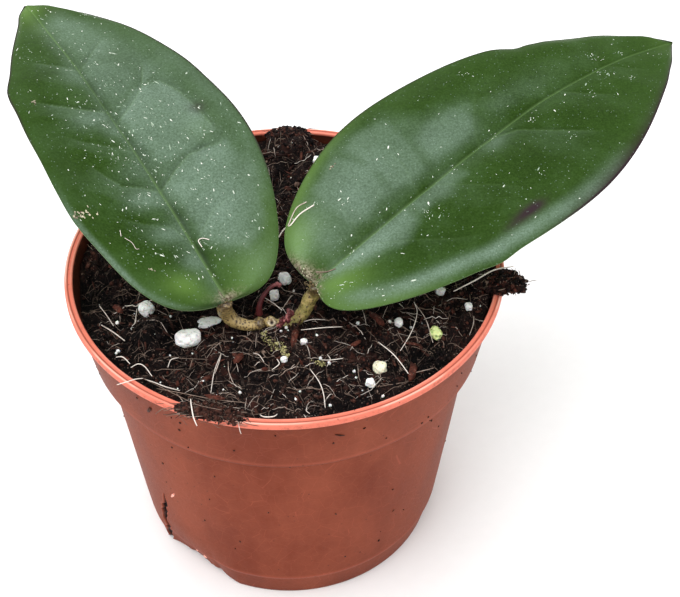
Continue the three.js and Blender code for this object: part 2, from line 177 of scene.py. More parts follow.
# Bits of dry moss: middle and spread
MOSS = (
    ((-4.6, -19.4), 0.5), ((-3.8, -19.8), 0.5), ((-2.6, -20.8), 0.4), ((-1.9, -21.8), 0.45),
    ((-1.3, -22.8), 0.45), ((-0.6, -24.0), 0.4), ((-0.2, -25.0), 0.3), ((5.9, -26.8), 0.4),
    ((6.6, -27.9), 0.3), ((-1.2, -16.6), 0.35),
)
MOSS_BITS = 26
# Short fibres on each clod: how many, how far they turn from its length, in radians, how unevenly they
# climb, and the longest step in mm. On the clod in front they lie along the rim
TUFTS = ((70, np.pi, 0.10, 0.45), (70, np.pi, 0.10, 0.45), (150, 0.5, 0.03, 0.75))
# How many points a fibre has: one on the ground, one on a clod, and one with its own curve
FIBRE_STEPS = 9
TUFT_STEPS = 7
NAMED_STEPS = 22
# How much of its given thickness a strand with its own curve gets
NAMED_SHARE = 0.6
FIBRE_REACH = 43.0
# Strands laid on the mix: (thickness, tone, points), where a tone of 0 is dark bark and 1 pale root
NAMED_STRANDS = (
    (0.52, 0.97, ((33.6, -11.2, 70.3), (38.0, -9.6, 71.6), (42.0, -7.6, 72.4), (46.3, -5.8, 71.6))),
    (0.42, 0.8, ((-37.0, -13.9, 67.0), (-34.5, -17.4, 68.6), (-31.8, -20.2, 68.6))),
    (0.34, 1.0, ((17.7, -23.0, 68.6), (20.6, -27.2, 68.9), (23.3, -32.5, 68.4))),
    (0.30, 0.95,
     ((25.6, -12.5, 69.0), (26.0, -15.0, 68.8), (25.2, -18.4, 68.6),
      (23.8, -21.8, 68.5), (21.8, -25.6, 68.6))),
    (0.26, 0.7, ((25.8, -13.0, 68.9), (27.5, -17.5, 68.9), (28.4, -23.3, 68.2))),
    (0.34, 0.9, ((2.7, -18.8, 68.5), (7.0, -18.6, 68.7), (10.9, -18.0, 68.2))),
    (0.26, 0.85, ((2.0, -17.2, 68.7), (5.0, -16.4, 68.9), (7.6, -16.2, 68.5))),
    (0.26, 0.95, ((-4.3, -9.7, 68.9), (-2.6, -11.6, 69.2), (-0.9, -13.6, 69.0))),
    (0.30, 0.75, ((-14.1, -30.2, 68.9), (-13.4, -27.6, 69.0), (-13.0, -24.6, 68.3))),
    (0.28, 0.95, ((-3.2, -28.9, 68.0), (-1.8, -27.8, 68.4), (-2.2, -26.2, 68.2))),
    (0.24, 0.9, ((-6.8, -24.3, 68.1), (-5.6, -25.4, 68.6), (-4.7, -27.1, 68.4))),
    (0.26, 0.85, ((-14.8, -35.5, 69.2), (-14.2, -30.0, 69.2), (-13.0, -24.3, 68.3))),
    (0.28, 0.9, ((-23.2, -27.5, 68.3), (-22.6, -26.0, 68.8), (-21.2, -25.3, 68.6))),
    (0.26, 0.6, ((-11.6, -27.0, 68.8), (-11.4, -30.0, 68.9), (-10.5, -33.0, 68.7))),
    (0.30, 0.8, ((-37.8, -7.9, 66.6), (-36.0, -11.6, 67.4), (-34.3, -15.6, 68.3))),
    (0.26, 0.9, ((-29.9, -11.3, 68.6), (-29.8, -14.0, 69.6), (-29.9, -16.3, 69.6), (-30.5, -16.9, 69.4))),
    (0.38, 1.0, ((-33.3, -24.4, 68.4), (-32.2, -24.7, 68.8), (-31.3, -25.4, 68.7), (-30.5, -26.5, 68.6))),
    (0.34, 0.95,
     ((-30.3, -27.4, 68.5), (-28.9, -26.6, 68.6), (-27.6, -27.4, 68.6), (-26.1, -30.0, 68.6))),
    (0.36, 0.85,
     ((-27.4, -31.1, 69.0), (-25.5, -31.8, 68.7), (-23.4, -33.0, 68.7), (-20.7, -34.1, 68.7))),
    (0.30, 0.95, ((4.1, -29.3, 68.3), (5.7, -33.0, 68.6), (6.4, -36.2, 68.7), (6.6, -39.6, 68.4))),
    (0.24, 0.7, ((37.2, -16.6, 68.5), (36.8, -19.0, 68.6), (35.8, -21.5, 68.1))),
    (0.26, 0.55, ((23.5, -31.6, 68.4), (25.6, -31.2, 68.6), (27.8, -30.4, 68.4))),
    (0.28, 0.9, ((6.3, -26.9, 68.2), (8.2, -27.4, 68.6), (10.6, -26.8, 68.3))),
    (0.24, 0.85, ((7.6, -25.8, 68.5), (8.1, -27.4, 68.7), (7.4, -28.8, 68.3))),
    (0.30, 0.95,
     ((-32.4, -33.7, 70.5), (-30.5, -33.2, 70.7), (-28.9, -32.5, 70.6), (-27.6, -32.1, 70.3))),
    (0.40, 1.0, ((-18.4, -38.4, 70.9), (-18.2, -40.4, 71.2), (-17.8, -42.6, 70.4), (-17.2, -43.9, 69.5))),
    (0.34, 0.95,
     ((-5.6, -41.8, 69.6), (-5.0, -43.0, 70.4), (-4.0, -43.5, 70.8),
      (-2.9, -43.1, 70.5), (-2.4, -41.9, 69.7))),
    (0.26, 0.9, ((3.2, -39.8, 69.0), (3.0, -41.2, 69.6), (3.6, -42.6, 70.3))),
    (0.20, 0.45, ((-25.0, -34.0, 69.4), (-20.0, -36.4, 70.4), (-14.0, -38.8, 71.0), (-8.0, -39.6, 70.6))),
    (0.18, 0.4, ((-28.0, -31.0, 69.4), (-22.0, -35.8, 70.0), (-17.0, -40.4, 71.4), (-12.6, -41.8, 71.3))),
    (0.24, 0.9, ((-9.6, -43.9, 70.1), (-9.4, -44.5, 68.7), (-9.2, -44.4, 67.4))),
)

# Perlite grains: x, y, (width, depth, height), turn, how far the middle stands above the ground
GRAINS = (
    (-19.3, -20.4, (5.8, 4.4, 4.0), 10, 0.8), (-27.9, -11.7, (3.5, 3.9, 4.2), 60, 0.7),
    (-15.4, -15.4, (5.4, 3.0, 1.0), 20, 0.3), (-2.3, -8.4, (2.5, 2.4, 2.6), 0, 0.5),
    (-0.1, -3.7, (2.6, 3.4, 3.0), 30, 0.5), (22.1, -17.6, (2.0, 2.3, 2.3), 0, 0.5),
    (29.3, -20.8, (2.7, 3.3, 2.4), 40, 0.5), (17.6, -29.7, (3.1, 2.8, 2.4), -20, 0.4),
    (15.4, -33.6, (2.2, 2.1, 1.9), 0, 0.4), (31.4, -8.8, (2.2, 2.1, 2.0), 50, 0.4),
    (36.4, -14.4, (1.8, 1.9, 1.7), 0, 0.3), (3.2, -21.7, (1.6, 1.5, 1.5), 0, 0.3),
    (-0.8, -26.2, (1.5, 1.4, 1.4), 30, 0.3), (-33.0, -22.6, (1.7, 1.5, 1.5), 0, 0.3),
    (-20.0, 12.0, (3.6, 3.0, 3.0), 15, 0.5), (-7.0, 25.0, (2.7, 3.3, 2.6), 70, 0.5),
    (15.0, 6.0, (3.0, 2.6, 2.6), -30, 0.4), (25.0, 26.0, (4.0, 3.2, 3.2), 25, 0.6),
    (8.0, 34.0, (2.4, 2.2, 2.2), 0, 0.4), (-26.0, 26.0, (2.9, 2.6, 2.4), 45, 0.4),
)
# How much of its solid a grain fills, where that isn't 0.92
GRAIN_SHARE = {13: 0.45, 5: 0.85, 6: 0.85, 0: 0.88, 1: 0.82}
GREENISH_GRAIN = 6
CREAM_GRAIN = 7
DULL_GRAIN = 2
# Perlite crumbs too small to be pieces of their own: x, y, width
PERLITE_CRUMBS = (
    (-0.2, -18.1, 0.8), (-1.2, -18.9, 0.7), (2.8, -21.3, 0.9), (-0.8, -25.6, 0.8), (5.8, -20.5, 0.8),
    (-10.9, -19.5, 0.6), (-33.8, -13.8, 1.0), (-30.5, -16.6, 0.9), (-33.4, -22.7, 0.8),
    (-22.9, -24.2, 0.5), (-13.8, -36.2, 0.9), (-9.3, -35.2, 0.8), (1.2, -36.8, 0.8), (7.6, -37.9, 0.8),
    (12.6, -29.8, 0.7), (17.7, -36.1, 0.9), (14.1, -16.7, 1.0), (3.0, -21.3, 0.8), (2.0, -34.8, 0.6),
    (20.4, -17.0, 0.9), (24.6, -17.8, 0.7), (7.9, -27.4, 1.0), (6.3, -26.0, 0.9), (-3.0, -6.0, 0.9),
    (1.6, -6.4, 0.7), (-36.5, -18.4, 0.6), (-12.5, -34.0, 0.6), (12.9, -31.4, 0.6), (-23.0, -14.5, 0.6),
    (-24.6, -30.3, 0.5),
)

# Stem: the middle line of each limb and the radii spread evenly along it
PETIOLE_LEFT = (
    (-3.4, -16.1, 68.3), (-7.3, -17.4, 68.9), (-10.2, -17.1, 69.8), (-11.7, -16.7, 71.6),
    (-12.05, -17.3, 73.6), (-12.1, -18.15, 74.8), (-11.85, -18.7, 75.6), (-11.5, -19.1, 77.0),
)
PETIOLE_LEFT_RADII = (1.0, 1.02, 1.1, 1.3, 1.5, 1.52, 1.42, 1.15)
PETIOLE_RIGHT = (
    (-3.4, -16.2, 68.2), (0.8, -16.5, 68.0), (3.2, -15.8, 70.3), (4.6, -15.1, 73.2),
    (5.5, -15.1, 75.0), (5.65, -15.45, 76.15), (5.6, -15.7, 77.6),
)
PETIOLE_RIGHT_RADII = (0.95, 0.95, 1.15, 1.35, 1.42, 1.38, 1.15)
COLUMN = (
    (-3.2, -17.0, 69.6), (-3.6, -16.4, 67.6), (-4.2, -15.6, 62.0), (-3.4, -14.6, 50.0),
    (-2.6, -14.0, 38.0),
)
COLUMN_RADII = (1.05, 1.6, 1.7, 1.6, 1.2)
# Roots: height where they leave the stem, heading, how far out and how deep
ROOTS = ((54, 20, 19, 24), (50, 95, 16, 20), (46, 165, 18, 27), (43, 235, 14, 18), (40, 310, 16, 22))
ROOT_START = (-3.0, -14.3)
# Shares of a root's reach and of its depth, from the stem out
ROOT_BEND = ((0.0, 0.0), (0.5, 0.25), (1.0, 1.0))
ROOT_RADII = (1.0, 0.8, 0.5)
COLLAR = ((-6.2, -17.0, 68.75), (-5.5, -16.8, 68.7), (-4.8, -16.5, 68.6))
COLLAR_RADIUS = 1.12
STUB = ((-3.1, -16.6, 69.0), (-3.0, -17.4, 69.5), (-2.95, -18.1, 69.95))
STUB_RADII = (0.75, 0.84, 0.88, 0.9, 0.9, 0.88, 0.80, 0.64, 0.2, 0.08)
# Where cork gathers round a petiole's upper end: middle, spread, lumps
CALLUS = (
    ((-11.8, -19.1, 77.3), (0.6, 0.45, 0.4), 18),
    ((5.2, -16.0, 77.9), (0.8, 0.5, 0.45), 30),
    ((-5.4, -17.6, 69.4), (0.5, 0.5, 0.5), 8),
)
CALLUS_SEED = 31
SHOOT_LEFT = (
    (-5.4, -15.1, 69.6), (-5.4, -14.9, 71.2), (-5.0, -14.4, 72.6), (-4.1, -13.7, 73.9),
    (-2.7, -12.6, 74.8), (-1.3, -12.3, 75.0),
)
SHOOT_LEFT_RADII = (0.72, 0.56, 0.5, 0.45, 0.42, 0.34)
SHOOT_RIGHT = (
    (-1.7, -18.25, 69.2), (-0.6, -18.2, 70.6), (0.4, -18.1, 71.7), (1.0, -17.9, 72.5), (0.2, -18.2, 73.0),
)
SHOOT_RIGHT_RADII = (0.6, 0.5, 0.42, 0.42, 0.36)
# The shoots: side, middle line, radii and how pink the tip is
SHOOTS = (("left", SHOOT_LEFT, SHOOT_LEFT_RADII, 0.75), ("right", SHOOT_RIGHT, SHOOT_RIGHT_RADII, 0.12))
SHOOT_SEED = 41

# Leaves: the same blades as their solids
BLADE_MIDDLE = 1.7
BLADE_MARGIN = 0.8
BLADE_BASE = 2.4
BASE_STRETCH = 0.1
CUP_REACH = 25.0
LOBE_AT = 0.055
MARGIN_WAVE = 0.4
MARGIN_WAVES = 2.5
UPPER_COLUMNS = 190
LOWER_COLUMNS = 60
# Farther than any place on a blade, in mm
FAR_OFF = 1e3
# Where a margin leaves its smooth curve: (along, reach, share of the half width)
LEFT_LEAF_LEFT = ((0.44, 0.08, -0.035), (0.64, 0.05, 0.07), (0.26, 0.06, 0.03), (0.96, 0.03, 0.22))
LEFT_LEAF_RIGHT = ((0.61, 0.07, 0.02), (0.92, 0.05, 0.08), (0.97, 0.02, 0.08))
RIGHT_LEAF_LEFT = ((0.69, 0.03, -0.07), (0.735, 0.02, -0.02), (0.89, 0.05, 0.10), (0.96, 0.03, 0.16))
RIGHT_LEAF_RIGHT = ((0.27, 0.03, 0.03), (0.90, 0.06, 0.04), (0.96, 0.03, 0.10))
LEFT_LEAF = {
    "base": (-11.4, -19.2, 77.2), "turn": 27.0, "rise": 28.7, "roll": 7.4, "arch": 35.7, "length": 93.4,
    "bow": -2.1, "swing": 0.0, "cup": 3.0,
    "left": {"half": 21.0, "base": 0.46, "tip": 1.0, "full": -0.07, "lobe": 1.0, "wobble": LEFT_LEAF_LEFT},
    "right": {"half": 24.1, "base": 0.52, "tip": 0.76, "full": 0.0, "lobe": 2.3, "wobble": LEFT_LEAF_RIGHT},
}
RIGHT_LEAF = {
    "base": (5.5, -15.8, 77.9), "turn": -52.7, "rise": 17.3, "roll": 5.8, "arch": 26.1, "length": 107.7,
    "bow": -1.7, "swing": 1.0, "cup": 0.8,
    "left": {"half": 23.3, "base": 0.49, "tip": 0.83, "full": 0.05, "lobe": 2.3, "wobble": RIGHT_LEAF_LEFT},
    "right": {
        "half": 26.3, "base": 0.73, "tip": 0.98, "full": -0.05, "lobe": 5.3, "wobble": RIGHT_LEAF_RIGHT,
    },
}

# On a leaf a place is (along, across): 0 to 1 from base to tip, and -1 to 1 from the left margin to the
# right one. Side veins: strength, then a chain of places from the midrib out
LEFT_VEINS = (
    (0.7, (0.669, 0.0), (0.699, -0.2), (0.723, -0.48), (0.74, -0.7)),
    (1.1, (0.525, 0.0), (0.543, -0.2), (0.565, -0.41), (0.581, -0.6), (0.60, -0.8)),
    (0.9, (0.281, 0.0), (0.303, -0.15), (0.319, -0.34), (0.361, -0.46), (0.42, -0.62)),
    (0.6, (0.13, 0.0), (0.192, -0.1), (0.22, -0.39), (0.26, -0.66)),
    (0.5, (0.40, 0.0), (0.425, -0.22), (0.455, -0.46), (0.50, -0.74)),
    (0.6, (0.669, 0.0), (0.701, 0.18), (0.745, 0.44), (0.77, 0.62)),
    (0.8, (0.483, 0.0), (0.529, 0.25), (0.569, 0.43), (0.621, 0.57), (0.677, 0.69)),
    (-0.9, (0.40, 0.72), (0.459, 0.71), (0.519, 0.69), (0.569, 0.61), (0.573, 0.45)),
    (1.0, (0.281, 0.0), (0.321, 0.22), (0.349, 0.41), (0.353, 0.54), (0.349, 0.70), (0.38, 0.82)),
    (0.5, (0.142, 0.0), (0.172, 0.2), (0.204, 0.37), (0.236, 0.74)),
)
RIGHT_VEINS = (
    (0.4, (0.303, 0.0), (0.345, 0.21), (0.387, 0.4), (0.43, 0.62)),
    (0.9, (0.461, 0.0), (0.517, 0.09), (0.563, 0.29), (0.615, 0.51), (0.65, 0.7)),
    (0.5, (0.267, 0.0), (0.295, -0.33), (0.301, -0.78)),
    (0.5, (0.431, 0.0), (0.467, -0.23), (0.555, -0.65)),
    (0.4, (0.11, 0.0), (0.188, 0.36), (0.25, 0.6), (0.31, 0.75)),
    (0.3, (0.12, 0.0), (0.14, -0.3), (0.155, -0.62)),
    (0.3, (0.62, 0.0), (0.66, -0.25), (0.71, -0.55)),
    (0.6, (0.66, 0.0), (0.70, 0.22), (0.75, 0.5)),
    (0.4, (0.80, 0.0), (0.83, 0.25), (0.86, 0.5)),
    (0.4, (0.78, 0.0), (0.81, -0.3), (0.85, -0.6)),
)
# Soft areas of the skin: (along, across, reach along, reach across, strength). The first two tables are
# painted sheen, the light's reflection on a faintly grey-green waxy skin; young is the yellow-green of fresh
# tissue, purple the flush of a leaf grown in bright light, and dark is painted shade
LEFT_BLOOM_AND_SHEEN = (
    (0.66, -0.14, 0.035, 0.16, 0.30), (0.51, -0.26, 0.03, 0.24, 0.50), (0.47, -0.10, 0.03, 0.12, 0.30),
    (0.345, -0.16, 0.03, 0.18, 0.30), (0.27, -0.22, 0.025, 0.20, 0.60), (0.18, -0.22, 0.022, 0.18, 0.50),
    (0.105, -0.14, 0.02, 0.14, 0.45), (0.62, 0.90, 0.16, 0.12, 0.28), (0.07, 0.72, 0.05, 0.3, 0.32),
    (0.40, 0.92, 0.16, 0.10, 0.32), (0.24, 0.88, 0.10, 0.12, 0.22), (0.22, -0.98, 0.10, 0.035, 0.55),
    (0.12, -0.97, 0.06, 0.04, 0.55), (0.04, -0.94, 0.03, 0.06, 0.35), (0.78, -0.10, 0.06, 0.2, 0.15),
    (0.22, 0.45, 0.05, 0.2, 0.15), (0.86, 0.0, 0.05, 0.5, 0.18),
)
RIGHT_BLOOM_AND_SHEEN = (
    (0.24, -0.50, 0.05, 0.24, 0.28), (0.17, -0.40, 0.03, 0.20, 0.30), (0.37, -0.30, 0.05, 0.14, 0.20),
    (0.12, 0.14, 0.08, 0.10, 0.30), (0.076, 0.83, 0.03, 0.12, 0.55), (0.136, 0.86, 0.04, 0.09, 0.75),
    (0.20, 0.86, 0.04, 0.075, 0.80), (0.27, 0.88, 0.04, 0.07, 0.80), (0.34, 0.90, 0.045, 0.07, 0.80),
    (0.42, 0.92, 0.045, 0.07, 0.70), (0.50, 0.94, 0.045, 0.08, 0.60), (0.58, 0.95, 0.05, 0.09, 0.40),
    (0.46, 0.06, 0.03, 0.07, 0.35), (0.60, -0.25, 0.06, 0.16, 0.14), (0.07, -0.30, 0.03, 0.3, 0.20),
    (0.04, -0.68, 0.045, 0.26, 0.40), (0.16, -0.70, 0.05, 0.20, 0.12), (0.49, -0.20, 0.08, 0.16, 0.10),
    (0.71, -0.27, 0.08, 0.2, 0.06),
)
LEFT_YOUNG = (
    (0.97, -0.3, 0.04, 0.9, 0.42), (0.92, -0.5, 0.05, 0.4, 0.20), (0.062, -0.50, 0.03, 0.26, 0.40),
    (0.055, 0.66, 0.05, 0.36, 0.30), (0.14, 0.92, 0.10, 0.14, 0.15), (0.40, 0.60, 0.03, 0.16, 0.12),
    (0.02, 0.0, 0.02, 1.2, 0.1), (0.87, -0.2, 0.05, 0.25, 0.1),
)
RIGHT_YOUNG = (
    (0.045, -0.74, 0.05, 0.26, 0.55), (0.13, -0.95, 0.08, 0.10, 0.20), (0.028, 0.62, 0.03, 0.40, 0.30),
    (0.10, 0.98, 0.08, 0.10, 0.25), (0.20, -0.98, 0.10, 0.06, 0.18), (0.97, 0.0, 0.03, 1.0, 0.10),
    (0.06, 0.45, 0.04, 0.3, 0.3),
)
LEFT_PURPLE = ((0.457, 0.71, 0.016, 0.08, 0.55), (0.93, 0.4, 0.03, 0.12, 0.15))
RIGHT_PURPLE = (
    (0.370, 0.77, 0.030, 0.055, 0.95), (0.335, 0.79, 0.02, 0.04, 0.40), (0.400, 0.76, 0.02, 0.05, 0.65),
    (0.50, 1.0, 0.10, 0.06, 0.35), (0.62, 1.0, 0.12, 0.09, 0.65), (0.82, 1.0, 0.12, 0.10, 0.5),
)
LEFT_DARK = (
    (0.39, -0.82, 0.12, 0.16, 0.3), (0.12, -0.30, 0.03, 0.12, 0.25), (0.391, 0.06, 0.03, 0.05, 0.75),
    (0.21, 0.03, 0.035, 0.05, 0.7), (0.114, 0.05, 0.03, 0.06, 0.7), (0.433, 0.0, 0.02, 0.05, 0.4),
    (0.377, 0.72, 0.03, 0.10, 0.35), (0.515, 0.93, 0.08, 0.08, 0.25), (0.351, 0.54, 0.012, 0.05, 0.8),
    (0.699, 0.16, 0.012, 0.05, 0.6), (0.60, 0.06, 0.03, 0.05, 0.4), (0.30, 0.06, 0.03, 0.04, 0.4),
)
RIGHT_DARK = (
    (0.52, 0.45, 0.10, 0.30, 0.25), (0.25, 0.50, 0.10, 0.20, 0.25), (0.30, -0.12, 0.10, 0.10, 0.25),
)
# Corky skin at the base of a blade
LEFT_CRUST = ((0.0, 0.1, 0.016, 0.5, 1.0), (0.02, -0.05, 0.01, 0.05, 0.6))
RIGHT_CRUST = (
    (0.0, -0.45, 0.018, 0.45, 1.1), (0.006, -0.92, 0.016, 0.2, 0.7), (0.0, 0.8, 0.012, 0.4, 0.9),
    (0.02, 0.0, 0.012, 0.2, 0.5),
)
# Panels of painted sheen between the veins: strength, soft edge in mm, then a closed chain of places
LEFT_SHEEN_PANELS = (
    (0.44, 3.6, (0.10, 0.34), (0.16, 0.10), (0.30, 0.04), (0.50, 0.02), (0.70, 0.02), (0.87, 0.06),
     (0.90, 0.40), (0.80, 0.76), (0.60, 0.80), (0.40, 0.78), (0.22, 0.78), (0.12, 0.6)),
    (0.30, 1.3, (0.13, 0.18), (0.20, 0.10), (0.275, 0.10), (0.315, 0.30), (0.345, 0.50),
     (0.345, 0.74), (0.26, 0.90), (0.16, 0.86), (0.10, 0.60)),
    (0.28, 1.0, (0.355, 0.14), (0.42, 0.08), (0.49, 0.06), (0.54, 0.22), (0.575, 0.43), (0.56, 0.58),
     (0.51, 0.67), (0.43, 0.70), (0.38, 0.60), (0.355, 0.42)),
    (0.13, 1.2, (0.54, 0.07), (0.61, 0.05), (0.675, 0.07), (0.665, 0.32), (0.64, 0.46), (0.60, 0.42),
     (0.57, 0.26)),
    (0.12, 1.6, (0.72, 0.22), (0.78, 0.08), (0.85, 0.10), (0.87, 0.34), (0.83, 0.62), (0.74, 0.56),
     (0.70, 0.40)),
)
RIGHT_SHEEN_PANELS = (
    (0.26, 3.2, (0.06, -0.20), (0.07, -0.70), (0.14, -0.90), (0.24, -0.92), (0.34, -0.86),
     (0.40, -0.56), (0.48, -0.46), (0.46, -0.10), (0.30, -0.10), (0.12, -0.10)),
    (0.12, 1.5, (0.065, -0.30), (0.07, -0.70), (0.12, -0.84), (0.125, -0.50), (0.13, -0.16),
     (0.09, -0.14)),
    (0.26, 1.3, (0.135, -0.18), (0.13, -0.62), (0.145, -0.84), (0.215, -0.84), (0.24, -0.55),
     (0.23, -0.20)),
    (0.24, 1.0, (0.24, -0.18), (0.25, -0.55), (0.235, -0.82), (0.30, -0.86), (0.345, -0.78),
     (0.335, -0.45), (0.31, -0.16)),
    (0.24, 1.3, (0.345, -0.14), (0.35, -0.46), (0.42, -0.48), (0.49, -0.42), (0.46, -0.24),
     (0.43, -0.12)),
    (0.10, 1.6, (0.50, -0.36), (0.56, -0.34), (0.57, -0.16), (0.52, -0.14)),
    (0.50, 1.8, (0.03, 0.03), (0.225, 0.02), (0.225, 0.20), (0.19, 0.32), (0.10, 0.32), (0.04, 0.22)),
    (0.36, 1.5, (0.24, 0.03), (0.345, 0.02), (0.36, 0.12), (0.31, 0.18), (0.24, 0.16)),
)
# Hollows pressed into the skin: (along, across, reach in mm, depth)
LEFT_DIMPLES = (
    (0.351, 0.52, 1.5, 0.38), (0.699, 0.16, 1.1, 0.3), (0.573, 0.45, 1.6, 0.2), (0.281, 0.02, 1.6, 0.2),
    (0.483, 0.02, 1.4, 0.18),
)
RIGHT_DIMPLES = ((0.303, 0.04, 1.5, 0.15), (0.461, 0.02, 1.5, 0.15))
# Pale splashes of dried water, each a loose bunch of flecks: (along, across, reach in mm, flecks)
LEFT_SPLASHES = (
    (0.866, 0.82, 0.5, 5), (0.457, 0.71, 1.0, 7), (0.142, 0.11, 1.5, 12), (0.122, 0.61, 0.7, 4),
    (0.313, 0.56, 0.5, 3), (0.28, -0.3, 2.6, 16), (0.13, -0.42, 2.6, 16), (0.34, 0.05, 2.0, 12),
    (0.47, 0.12, 2.5, 12), (0.40, -0.2, 3.0, 16),
)
RIGHT_SPLASHES = (
    (0.545, -0.76, 1.5, 9), (0.804, -0.20, 1.6, 12), (0.77, 0.11, 1.9, 14), (0.711, 0.19, 1.6, 12),
    (0.854, -0.15, 1.0, 7), (0.561, 0.12, 1.3, 10), (0.255, 0.24, 2.0, 20), (0.156, -0.45, 1.4, 12),
    (0.473, -0.03, 1.4, 8), (0.579, 0.44, 1.4, 9), (0.804, 0.42, 1.0, 7), (0.122, -0.74, 1.0, 6),
    (0.092, 0.82, 1.6, 9), (0.088, -0.02, 1.6, 9), (0.05, 0.6, 2.2, 12), (0.463, 0.54, 1.2, 6),
    (0.36, 0.02, 1.6, 8),
)
# Corky scars: (along, across, lumps, reach along and across in mm, lump size)
LEFT_SCARS = (
    (0.273, -0.90, 34, 0.5, 1.5, 0.5), (0.595, -0.73, 5, 0.35, 0.35, 0.5),
    (0.116, -0.69, 7, 0.5, 0.5, 0.35),
)
RIGHT_SCARS = (
    (0.196, -0.79, 4, 0.3, 0.3, 0.5), (0.004, -0.60, 16, 0.4, 1.3, 0.35),
    (0.006, 0.30, 12, 0.4, 1.4, 0.35),
)
SCAR_SEED = 61

# Stage

WINDOW_PLACE = (-120.0, 500.0, 520.0)
WINDOW_SIZE = (600.0, 300.0)
FLOOR_LEVEL = -0.02
# Radii of the floor's rings, in metres
FLOOR_RINGS = (0.02, 0.1, 0.4, 1.2, 4.0)
FLOOR_SIDES = 96


class LookError(Exception):
    """A step that can't be finished, said plainly."""


# Numbers


def mixed(start, end, share):
    """The place that lies a share of the way from start to end."""
    return start + (end - start) * share


def smooth(low, high, value):
    """0 below low and 1 above high, with the curve 3u^2 - 2u^3 between them."""
    u = np.clip((value - low) / (high - low), 0, 1)
    return u * u * (3 - 2 * u)


def bell(distance, reach):
    """The bell curve exp(-(distance / reach)^2)."""
    return np.exp(-((distance / reach) ** 2))


def unit(vectors):
    """Vectors divided by their lengths."""
    length = np.linalg.norm(vectors, axis=-1, keepdims=True)
    return vectors / np.maximum(length, 1e-12)


def polar(radius, angle):
    """x and y at a radius and an angle in radians."""
    return radius * np.cos(angle), radius * np.sin(angle)


def spun(x, y, degrees):
    """x and y turned about z."""
    turn = np.radians(degrees)
    return x * np.cos(turn) - y * np.sin(turn), x * np.sin(turn) + y * np.cos(turn)


def about(axis, turn):
    """The matrix that turns about an axis, 0 to 2 for x to z, by an angle in radians."""
    i, j = (axis + 1) % 3, (axis + 2) % 3
    matrix = np.eye(3)
    matrix[i, i] = matrix[j, j] = np.cos(turn)
    matrix[i, j], matrix[j, i] = -np.sin(turn), np.sin(turn)
    return matrix


def on_a_line(values):
    """Points on one axis, for noise that varies one way only."""
    return np.stack([values, 0 * values, 0 * values], axis=-1)


def lattice(cell, seed):
    """A repeatable number from 0 to 1 for each whole-number cell: its digits are multiplied, folded and cut
    to 32 bits."""
    mask = 0xFFFFFFFF
    x, y, z = cell[..., 0], cell[..., 1], cell[..., 2]
    mixed_up = (x * 374761393 + y * 668265263 + z * 432416201 + seed * 97394231) & mask
    mixed_up = ((mixed_up ^ (mixed_up >> 13)) * 1274126177) & mask
    return (mixed_up ^ (mixed_up >> 16)) / mask


def noise(points, seed):
    """Smooth noise from -1 to 1: the lattice numbers of a cell's eight corners, blended by 3u^2 - 2u^3
    along each axis."""
    cell = np.floor(points).astype(np.int64)
    share = points - cell
    share = share * share * (3 - 2 * share)
    total = np.zeros(points.shape[:-1])
    for corner in np.ndindex(2, 2, 2):
        weight = np.prod(np.where(np.array(corner) == 1, share, 1 - share), axis=-1)
        total += weight * lattice(cell + np.array(corner), seed)
    return 2 * total - 1


def cloudy(points, size, octaves, seed):
    """Noise at a size in mm, plus noise at half the size and half the strength, and so on."""
    total = 0.0
    for octave in range(octaves):
        total = total + noise(points * 2**octave / size, seed + octave) / 2**octave
    return total


def paint(red, green, blue):
    """A colour given as it looks on a screen, 0 to 255 a channel, as linear light."""
    shown = np.array((red, green, blue)) / 255
    linear = np.where(shown <= 0.04045, shown / 12.92, ((shown + 0.055) / 1.055) ** 2.4)
    return tuple(float(v) for v in linear)


def curve_through(points, count):
    """Points spread evenly on a smooth curve through the given ones: on each stretch a cubic whose slope at
    a point is half the step between its neighbours."""
    points = np.asarray(points, float)
    ends = np.vstack([2 * points[0] - points[1], points, 2 * points[-1] - points[-2]])
    fine = []
    u = np.linspace(0, 1, 24, endpoint=False)[:, None]
    for a, b, c, d in zip(ends, ends[1:], ends[2:], ends[3:]):
        fine.append(b + 0.5 * u * (c - a + u * (2 * a - 5 * b + 4 * c - d + u * (3 * (b - c) + d - a))))
    fine = np.vstack([*fine, points[-1:]])
    length = np.concatenate([[0], np.cumsum(np.linalg.norm(np.diff(fine, axis=0), axis=1))])
    wanted = np.linspace(0, length[-1], count)
    return np.column_stack([np.interp(wanted, length, fine[:, k]) for k in range(3)])


# Meshes


def strip_faces(rows, columns):
    """Quads between neighbouring rows of a grid whose rows are closed rings. They face out where each ring
    runs counter-clockwise seen from the end that the rows run to."""
    i, j = np.meshgrid(np.arange(rows - 1) * columns, np.arange(columns), indexing="ij")
    k = (j + 1) % columns
    return np.stack([i + j, i + k, i + columns + k, i + columns + j], axis=-1).reshape(-1, 4)


def ring_caps(rows, columns, first, last):
    """Triangles from a pole before the first row and a pole after the last one."""
    j = np.arange(columns)
    k = (j + 1) % columns
    start = np.stack([np.full(columns, first), k, j], axis=-1)
    end = np.stack([np.full(columns, last), (rows - 1) * columns + j, (rows - 1) * columns + k], axis=-1)
    return np.vstack([start, end])


def capped_faces(rows, columns):
    """Faces of a grid of rings whose ends are closed by two poles, which come after its places."""
    return [strip_faces(rows, columns), ring_caps(rows, columns, rows * columns, rows * columns + 1)]


def rings(section, angle):
    """Rows of (radius, height) turned about the axis, ring by ring, at angles in radians."""
    x, y = polar(section[:, :1], angle)
    return np.stack([x, y, np.broadcast_to(section[:, 1:], x.shape)], axis=-1).reshape(-1, 3)


